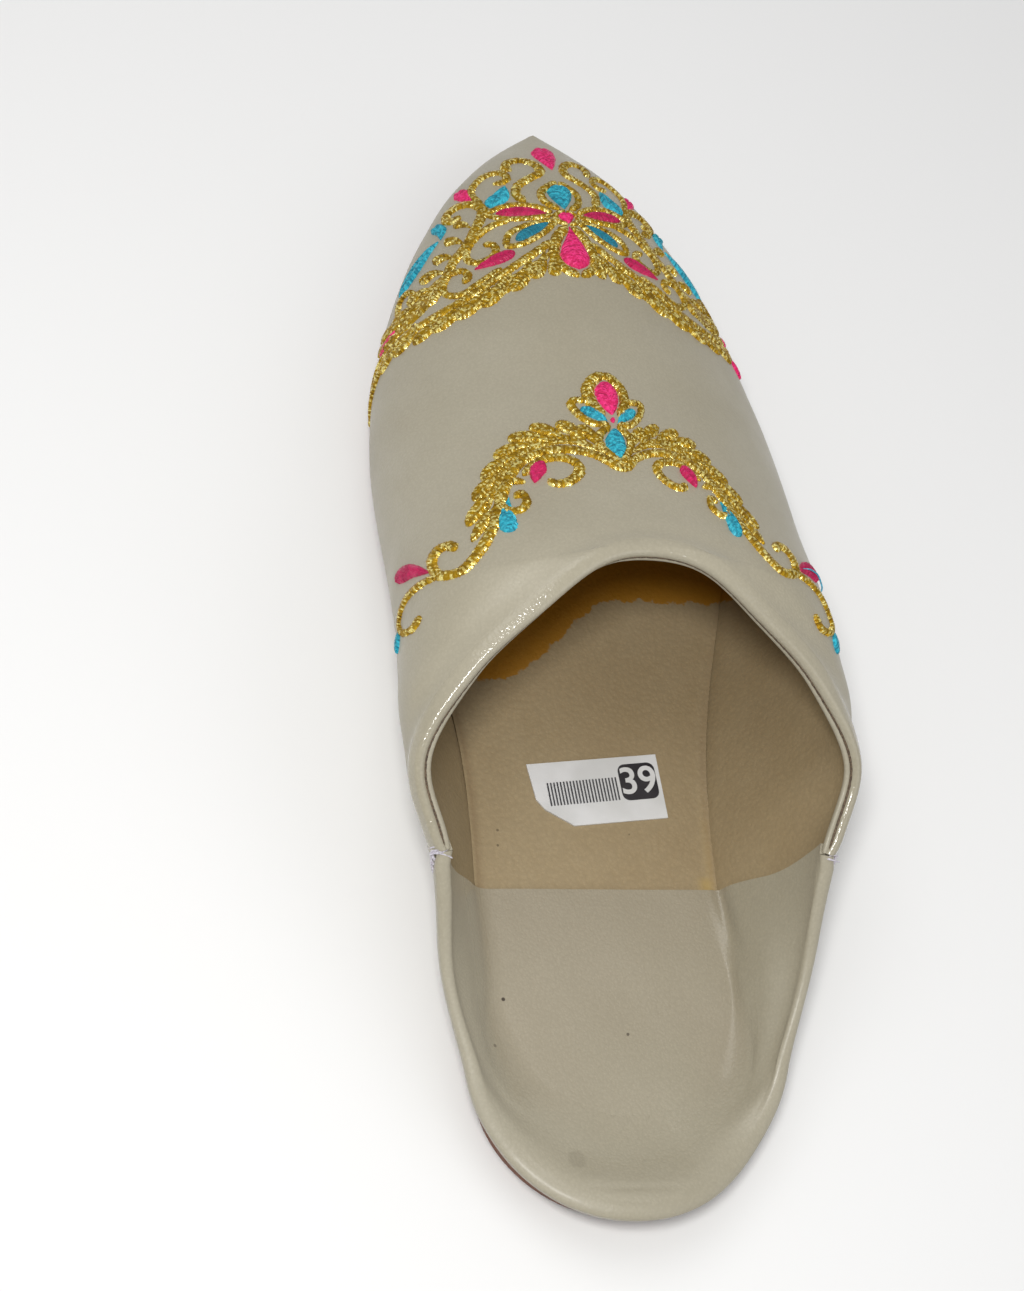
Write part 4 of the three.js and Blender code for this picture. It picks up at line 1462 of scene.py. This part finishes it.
goldToe = [
    stem([(0.6, 227.4), (3.2, 223.4), (4.7, 218), (4, 213.4), (0.3, 209.8)], 2.1),
    stem(
        [(2.4, 229.6), (6.4, 224.6), (11, 221.2), (14.4, 221), (13.6, 225), (9.6, 227.6),
         (3.4, 229.4)],
        1.3,
    ),
    stem(
        [(3, 231.4), (7.5, 230.3), (13.5, 230.8), (17.2, 233.6), (12.5, 235.8), (7.2, 235),
         (3, 232.4)],
        1.3,
    ),
    stem([(1.2, 233.4), (4, 236.4), (4.2, 240.6), (0.3, 244.6)], 1.6),
    stem([(0.2, 227.9), (2.2, 229), (2.6, 231.2), (0.2, 233)], 1.1),
    stem(
        [(8.4, 236.4), (9.9, 240), (9, 243.4), (6, 246.2), (3.2, 248.8), (3.4, 252.4), (6, 255.2),
         (9, 255), (10.4, 252.6), (9.4, 250.4)],
        1.9,
    ),
    stem(
        [(14.4, 245.4), (11.8, 245.8), (10.8, 247.8), (12.2, 250.2), (15.6, 250), (18.6, 247),
         (19.8, 243.6), (19, 240.4), (18.2, 237.4), (17.6, 234.8), (18.6, 232)],
        1.5,
    ),
    stem(
        [(34, 206), (30.6, 211), (28, 216.4), (26.4, 219.4), (23.4, 223.2), (20.8, 228.4),
         (18.8, 233), (18.3, 236.2), (20, 239), (23.4, 240), (26.3, 238.6), (27.1, 236),
         (25.2, 234.6), (23.4, 235.8)],
        2.1,
    ),
    stem(
        [(12.6, 230.2), (16.6, 229), (20.4, 226), (23.2, 222), (23.6, 218.6), (21.8, 216.6),
         (19, 217.2), (17.2, 219.4), (17.4, 221.8), (19.6, 222.6)],
        1.5,
    ),
    stem(
        [(16.6, 213.2), (21.5, 209.6), (26, 206.8), (29.4, 208), (30, 211.4), (28.2, 214.4),
         (25.2, 214.8), (24, 212.6), (25.4, 210.4)],
        1.5,
    ),
    stem(
        [(4.6, 222), (9.4, 217.4), (15.6, 212.2), (22, 207.4), (28, 203.8), (34, 201.4),
         (40, 199.6), (46, 197.2), (51, 193.6), (56.5, 189.8), (62, 186.6), (60.6, 185.4)],
        1.8,
    ),
    stem([(43, 200), (46, 199), (51.5, 196.6), (57, 191.8), (61.5, 187.4)], 1.1),
    leaf(
        [(4.8, 219), (8.4, 214.4), (13, 210), (18.4, 206), (24, 202.8), (30, 200), (36, 198),
         (42, 197)],
        3.4, 0.5, low=True,
    ),
    leaf([(28, 216), (32, 211.4), (36.6, 207), (42, 203.6), (47, 202.4)], 4.4, 0.5, low=True),
    leaf([(4.6, 221), (4.9, 215), (5.8, 209.8)], 2.6, 0.7),
    leaf([(6.4, 219.4), (8, 214), (10.4, 209)], 2.8, 0.7),
    leaf([(9.6, 216.8), (12, 210.6), (15.4, 205.4)], 3.0, 0.68),
    leaf([(14, 213.2), (17.6, 207), (22.2, 201.4)], 3.1, 0.68),
    leaf([(19.2, 209.2), (23, 203.6), (28.2, 198.9)], 3.0, 0.68),
    leaf([(24.8, 205.6), (28.8, 200.6), (33.8, 196.7)], 2.8, 0.66),
    leaf([(30.4, 203), (34, 198.8), (38.8, 195.2)], 2.6, 0.66),
    leaf([(36.2, 200.8), (40, 197.4), (44.6, 194.8)], 2.3, 0.66),
    leaf([(41.8, 199), (45.6, 196), (49.6, 192.6)], 1.8, 0.6),
    leaf([(21.4, 229.6), (22.8, 231.4), (25.2, 232.8)], 2.2, 0.66),
    leaf([(23.4, 224.2), (25.6, 226.2), (28.2, 227)], 2.4, 0.66),
    leaf([(26, 220), (28.6, 221.4), (31.6, 221.2)], 2.6, 0.66),
    leaf([(28.4, 215.8), (31.8, 216.8), (35.4, 215.6)], 2.7, 0.66),
    leaf([(31, 211), (35, 211.8), (39.4, 209.8)], 2.8, 0.66),
    leaf([(34, 206.4), (39, 207.6), (45, 205.8)], 3.0, 0.66),
    leaf([(36.5, 203.8), (42.5, 205), (50, 204.4)], 3.2, 0.7),
    leaf([(37.5, 202), (44, 201.6), (52, 201.2)], 2.8, 0.7),
    stem(
        [(39, 203), (41.4, 205.6), (42.6, 209), (41.8, 213), (39.4, 214.6), (37.6, 213),
         (38.6, 211)],
        1.4,
    ),
]

pinkToe = [
    leaf([(0, 228.6), (0, 232.2)], 3.4, 0.5, blunt=0.55, centre=True),
    leaf([(0, 227.2), (0, 212.6)], 6.4, 0.62, blunt=0.85, centre=True),
    leaf([(4.4, 231.9), (10, 233), (15.4, 233.3)], 3.2, 0.5, dull=1.0),
    leaf([(0, 250.6), (0, 262.4)], 5.4, 0.62, blunt=0.55, centre=True),
    leaf([(22.4, 214.4), (17.8, 216.4), (13.2, 218.6)], 3.3, 0.6, dull=1.0),
    leaf([(20, 239.8), (21.4, 243), (22.8, 246.4)], 3.8, 0.64, blunt=0.6),
    leaf([(43.4, 203.8), (46.6, 201.8), (50.2, 199.8)], 2.3, 0.55),
    leaf([(46, 197), (48.6, 195), (51, 193)], 1.8, 0.5, centre=True),
]

turquoiseToe = [
    leaf([(3.9, 228.4), (8, 225.6), (12.3, 222.8)], 3.6, 0.5, dull=1.0),
    leaf([(0, 234), (0, 243)], 5.6, 0.55, blunt=0.7, centre=True),
    leaf([(11.8, 243.8), (13.6, 239.6), (17, 236.6)], 4.2, 0.55),
    leaf([(29, 228.8), (28.8, 232), (30.2, 235.2)], 3.6, 0.64, blunt=0.6),
    leaf([(29.6, 228.4), (33, 225.6), (38, 220.2), (42, 215.2)], 3.3, 0.55),
]

threadColours = {
    "gold": {
        "paintedGlint": (1.0, 0.88, 0.32),
        "mid": (0.45, 0.265, 0.006),
        "deep": (0.16, 0.08, 0.002),
        "metal": 0.6,
        "roughness": 0.3,
        "sparse": 0.55,  # share of the dashes without a glint
    },
    "pink": {
        "paintedGlint": (0.93, 0.04, 0.24),
        "mid": (0.72, 0.012, 0.13),
        "deep": (0.3, 0.002, 0.045),
        "metal": 0.0,
        "roughness": 0.4,
        "sparse": 0.2,
    },
    "turquoise": {
        "paintedGlint": (0.04, 0.5, 0.64),
        "mid": (0.015, 0.3, 0.42),
        "deep": (0.004, 0.11, 0.17),
        "metal": 0.0,
        "roughness": 0.4,
        "sparse": 0.2,
    },
}


def satinThread(name):
    # Each thread takes its own tone from its number along the ribbon, with glints painted into its colour
    # in short dashes; ribbons with painted shade are darker and have fewer glints.
    look = threadColours[name]
    material, tree, shader = newMaterial(name + " thread")
    stitchMap = addNode(tree, "UVMap", uv_map="stitchMap").outputs["UV"]
    axes = addNode(tree, "SeparateXYZ", {"Vector": stitchMap}).outputs
    number = maths(tree, "FLOOR", maths(tree, "DIVIDE", axes["X"], stitchLook["thread"]))
    strand = addNode(tree, "TexWhiteNoise", {"W": number}, noise_dimensions="1D").outputs["Value"]
    dashes = maths(tree, "DIVIDE", axes["Y"], stitchLook["dash"])
    dash = maths(tree, "FLOOR", maths(tree, "ADD", dashes, strand))
    cell = addNode(tree, "CombineXYZ", {"X": number, "Y": dash}).outputs[0]
    perDash = addNode(tree, "TexWhiteNoise", {"Vector": cell}, noise_dimensions="2D").outputs["Value"]
    dull = valueOf(tree, "dull")
    tone = mixColour(tree, spread(tree, strand, 0.0, 0.8, 0.35, 1.0), look["deep"], look["mid"])
    bare = maths(tree, "MULTIPLY_ADD", dull, -0.8, 1.0)
    glint = maths(tree, "MULTIPLY", spread(tree, perDash, look["sparse"], 1.0), bare)
    # painted glints: some dashes are lightened towards the glint colour
    tone = mixColour(tree, glint, tone, look["paintedGlint"])
    # painted shade: shaded ribbons darken towards the deep colour
    tone = mixColour(tree, maths(tree, "MULTIPLY", dull, 0.45), tone, look["deep"])
    tree.links.new(tone, shader.inputs["Base Color"])
    rough = spread(tree, perDash, 0.2, 1.0, look["roughness"] + 0.2, look["roughness"] - 0.12)
    tree.links.new(rough, shader.inputs["Roughness"])
    stretched = addNode(tree, "Mapping", {"Vector": stitchMap, "Scale": (7.0, 1.2, 1.0)}).outputs[0]
    fibres = noise(tree, stretched, 1.0, 2)
    tree.links.new(bump(tree, fibres, 0.7, 0.00025), shader.inputs["Normal"])
    shader.inputs["Metallic"].default_value = look["metal"]
    shader.inputs["Specular IOR Level"].default_value = 0.4
    return material


def stitchedPiece(name, ribbons, material, seed, shift, fuller=1.0):
    # Every ribbon on both sides, except those on the middle line. The work sits a little round
    # to one side, further at its ends.
    random = np.random.default_rng(seed)
    parts = []
    for number, ribbon in enumerate(ribbons):
        sides = (1,) if ribbon.get("centre") else (1, -1)
        for side in sides:
            parts.append(ribbonPatch(ribbon, side, number * 2 + (side < 0), random, fuller, shift))
    return buildPiece(name, parts, material, weld=False, outwards=True, sharp=75)


print("embroidery")
goldThread = satinThread("gold")
pinkThread = satinThread("pink")
turquoiseThread = satinThread("turquoise")
bandShift = {"middle": 1.2, "twist": 0.11, "narrow": 1.7, "rise": 0.0, "leftRise": 0.22, "reach": 99}
toeShift = {"middle": 0.0, "twist": 0.07, "narrow": 0.0, "rise": 0.09, "leftRise": 0.0, "reach": 47}
stitchedPiece("gold_band", goldBand, goldThread, 51, bandShift, 1.32)
stitchedPiece("gold_toe", goldToe, goldThread, 52, toeShift, 1.28)
stitchedPiece("pink_band", pinkBand, pinkThread, 53, bandShift, 1.1)
stitchedPiece("pink_toe", pinkToe, pinkThread, 54, toeShift, 1.1)
stitchedPiece("turquoise_band", turquoiseBand, turquoiseThread, 55, bandShift, 1.1)
stitchedPiece("turquoise_toe", turquoiseToe, turquoiseThread, 56, toeShift, 1.1)


# A loose loop of turquoise thread by the pink leaf on the right

looseLook = {
    "line": [(37.4, 126.4), (40.2, 127), (43.2, 126.4), (44.6, 124.4), (43.4, 122.6)],
    "lift": [0.5, 1.1, 1.4, 1.0, 0.4],
    "radius": 0.18,
}


def loosePatches():
    # Smooth line over the leather, lifted off it along its normals.
    line, length = smoothLine(looseLook["line"], 0.5)
    points, normals = onVamp(line[:, 0], line[:, 1])
    lift = np.interp(length / length[-1], np.linspace(0, 1, 5), looseLook["lift"])
    path = points + lift[:, None] * normals
    return [threadPatch(path, looseLook["radius"], 7)]


looseThread = plainThread("loose turquoise thread", (0.05, 0.42, 0.6), (0.01, 0.16, 0.26))
buildPiece("loose_thread", loosePatches(), looseThread, outwards=True)


# Size label stuck on the insole

labelLook = {
    "corners": [(-13.6, 102.4), (16.3, 105.5), (17.7, 90.4), (-3.8, 88.2), (-10.2, 91.9), (-12, 94.2)],
    "lift": 0.5,
    "thick": 0.12,
    "square": {"centre": (11.7, 98.9), "side": 8.6, "corner": 1.7},
    "number": "39",
    "numberHeight": 8.8,
    "turn": 6.2,  # degrees
}


def filledSheet(name, loop, top, thick, material):
    # Flat piece inside a closed line of plan points, with its own thickness.
    count = len(loop)
    upper = np.concatenate([loop, np.full((count, 1), top)], 1)
    lower = np.concatenate([loop, np.full((count, 1), top - thick)], 1)
    mesh = bpy.data.meshes.new(name)
    index = np.arange(count)
    after = np.roll(index, -1)
    walls = np.stack([index, after, after + count, index + count], 1).tolist()
    faces = [index[::-1].tolist(), (index + count).tolist()] + walls
    mesh.from_pydata(toFrame(np.concatenate([upper, lower])).tolist(), [], faces)
    work = bmesh.new()
    work.from_mesh(mesh)
    bmesh.ops.recalc_face_normals(work, faces=work.faces)
    work.to_mesh(mesh)
    work.free()
    piece = bpy.data.objects.new(name, mesh)
    bpy.context.scene.collection.objects.link(piece)
    mesh.materials.append(material)
    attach(piece, "root")
    print("made", name)
    return piece


def roundedSquare(centre, side, corner, turn):
    # Four quarter circles joined by straight sides, turned about the centre.
    angle = np.concatenate([np.linspace(0, 90, 7) + 90 * k for k in range(4)])
    middle = np.repeat([(1, 1), (-1, 1), (-1, -1), (1, -1)], 7, axis=0) * (side / 2 - corner)
    points = middle + corner * np.stack([np.cos(np.radians(angle)), np.sin(np.radians(angle))], -1)
    c, s = math.cos(turn), math.sin(turn)
    return points @ np.array([[c, s], [-s, c]]) + centre


def printedPaper(name, colour, deep, roughness):
    # Coated paper: faint fibres, creases and a slight yellowing.
    material, tree, shader = newMaterial(name)
    place = objectPlace(tree)
    fibres = noise(tree, place, 700, 4)
    cloudy = noise(tree, place, 90, 3)
    tone = mixColour(tree, spread(tree, cloudy, 0.3, 0.7), colour, deep)
    tree.links.new(tone, shader.inputs["Base Color"])
    rough = spread(tree, fibres, 0.3, 0.7, roughness - 0.06, roughness + 0.06)
    tree.links.new(rough, shader.inputs["Roughness"])
    creased = bump(tree, cloudy, 0.25, 0.0008)
    tree.links.new(bump(tree, fibres, 0.2, 0.00005, creased), shader.inputs["Normal"])
    return material


labelPaper = printedPaper("white label", (0.72, 0.72, 0.72), (0.62, 0.62, 0.61), 0.4)
labelInk = printedPaper("dark ink", (0.022, 0.02, 0.024), (0.034, 0.031, 0.035), 0.35)
labelTop = last["insoleTop"] + labelLook["lift"]
labelCorners = np.array(labelLook["corners"], float)
filledSheet("size_label", labelCorners, labelTop, labelLook["thick"] + 0.5, labelPaper)
square = labelLook["square"]
labelTurn = math.radians(labelLook["turn"])
squareLine = roundedSquare(np.array(square["centre"]), square["side"], square["corner"], labelTurn)
filledSheet("label_square", squareLine, labelTop + 0.03, 0.06, labelInk)

numberCurve = bpy.data.curves.new("label_number", "FONT")
numberCurve.body = labelLook["number"]
numberCurve.align_x = "CENTER"
numberCurve.align_y = "CENTER"
numberCurve.size = labelLook["numberHeight"] / 1000
numberCurve.extrude = 0.00003
numberCurve.offset = 0.00012
numberText = bpy.data.objects.new("label_number_text", numberCurve)
bpy.context.scene.collection.objects.link(numberText)
numberMesh = bpy.data.meshes.new_from_object(numberText)
bpy.data.objects.remove(numberText)
numberPlace = toFrame([square["centre"][0], square["centre"][1], labelTop + 0.05])
numberMesh.transform(Matrix.Translation(Vector(numberPlace)) @ Matrix.Rotation(labelTurn, 4, "Z"))
numberPiece = bpy.data.objects.new("label_number", numberMesh)
bpy.context.scene.collection.objects.link(numberPiece)
numberMesh.materials.clear()
numberMesh.materials.append(labelPaper)
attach(numberPiece, "root")


# A plain row of bars, all alike, where such labels carry their print
barLook = {"first": (-9.4, 98.0), "last": (6.2, 99.7), "count": 22, "height": 5.4, "width": 0.34}


def barPatches():
    # Thin boxes side by side along the label, a hair above the paper.
    share = np.linspace(0, 1, barLook["count"])[:, None]
    starts = np.array(barLook["first"]) + (np.array(barLook["last"]) - barLook["first"]) * share
    ahead = unit(np.array(barLook["last"]) - barLook["first"])
    down = np.array([ahead[1], -ahead[0]])
    top = labelTop + 0.09
    parts = []
    for start in starts:
        across = start + barLook["width"] * ahead * np.array([[0], [1]])
        sheet = across[:, None] + barLook["height"] * down * np.array([[[0.0], [1.0]]])
        sheet = np.concatenate([sheet, np.full(sheet.shape[:2] + (1,), top)], 2)
        parts.append(patch(sheet))
    return parts


barInk = printedPaper("bar ink", (0.03, 0.03, 0.035), (0.06, 0.06, 0.065), 0.5)
buildPiece("label_bars", barPatches(), barInk, weld=False, wall=0.05)


# Floor, light and camera

def floorMaterial():
    # Matt pale grey with large faint clouds.
    material, tree, shader = newMaterial("pale floor")
    place = objectPlace(tree)
    cloudy = noise(tree, place, 3, 2)
    tone = mixColour(tree, cloudy, (0.80, 0.80, 0.80), (0.84, 0.84, 0.84))
    tree.links.new(tone, shader.inputs["Base Color"])
    shader.inputs["Roughness"].default_value = 0.85
    return material


side = np.linspace(-3000, 3000, 13)
floorX, floorY = np.meshgrid(side, side, indexing="ij")
floorPoints = np.stack([floorX, floorY, 0 * floorX], -1)
floorMesh = bpy.data.meshes.new("floor")
floorMesh.from_pydata((floorPoints.reshape(-1, 3) / 1000).tolist(), [], patchFaces(patch(floorPoints), 0))
floorPiece = bpy.data.objects.new("floor", floorMesh)
bpy.context.scene.collection.objects.link(floorPiece)
floorMesh.materials.append(floorMaterial())

cameraLook = {
    "place": (-0.1326, -0.2193, 0.445),
    "azimuth": -28.86,
    "elevation": 60.82,
    "roll": 27.62,
    "lens": 62.16,
}


def setCamera():
    # Looks along the view direction, then rolls about it.
    azimuth, elevation, roll = (math.radians(cameraLook[key]) for key in ("azimuth", "elevation", "roll"))
    level = math.cos(elevation)
    back = Vector((math.sin(azimuth) * level, -math.cos(azimuth) * level, math.sin(elevation)))
    right = (-back).cross(Vector((0, 0, 1))).normalized()
    up = right.cross(-back)
    rolledRight = math.cos(roll) * right + math.sin(roll) * up
    rolledUp = math.cos(roll) * up - math.sin(roll) * right
    turned = Matrix((rolledRight, rolledUp, back)).transposed().to_4x4()
    data = bpy.data.cameras.new("camera")
    data.lens = cameraLook["lens"]
    data.sensor_width = 36
    data.clip_start = 0.01
    camera = bpy.data.objects.new("camera", data)
    camera.matrix_world = Matrix.Translation(Vector(cameraLook["place"])) @ turned
    bpy.context.scene.collection.objects.link(camera)
    bpy.context.scene.camera = camera


lightLook = [
    {"name": "key", "place": (-0.17, -0.19, 0.54), "size": 0.1, "power": 1.9, "colour": (1, 0.99, 0.97)},
    {"name": "top", "place": (-0.3, 0.4, 1.1), "size": 0.8, "power": 2.6, "colour": (1, 1, 1)},
    {"name": "fill", "place": (0.7, -0.6, 0.8), "size": 0.9, "power": 1.6, "colour": (0.97, 0.98, 1)},
]


def addLights():
    target = Vector((0, 0, 0.02))
    for light in lightLook:
        data = bpy.data.lights.new(light["name"], "AREA")
        data.shape = "DISK"
        data.size = light["size"]
        data.energy = light["power"]
        data.color = light["colour"]
        lamp = bpy.data.objects.new(light["name"], data)
        lamp.location = light["place"]
        lamp.rotation_euler = (target - lamp.location).to_track_quat("-Z", "Y").to_euler()
        bpy.context.scene.collection.objects.link(lamp)
    world = bpy.data.worlds.new("studio")
    world.use_nodes = True
    background = world.node_tree.nodes["Background"]
    background.inputs["Color"].default_value = (1, 1, 1, 1)
    background.inputs["Strength"].default_value = 0.45
    bpy.context.scene.world = world


setCamera()
addLights()
bpy.context.scene.view_settings.view_transform = "Standard"
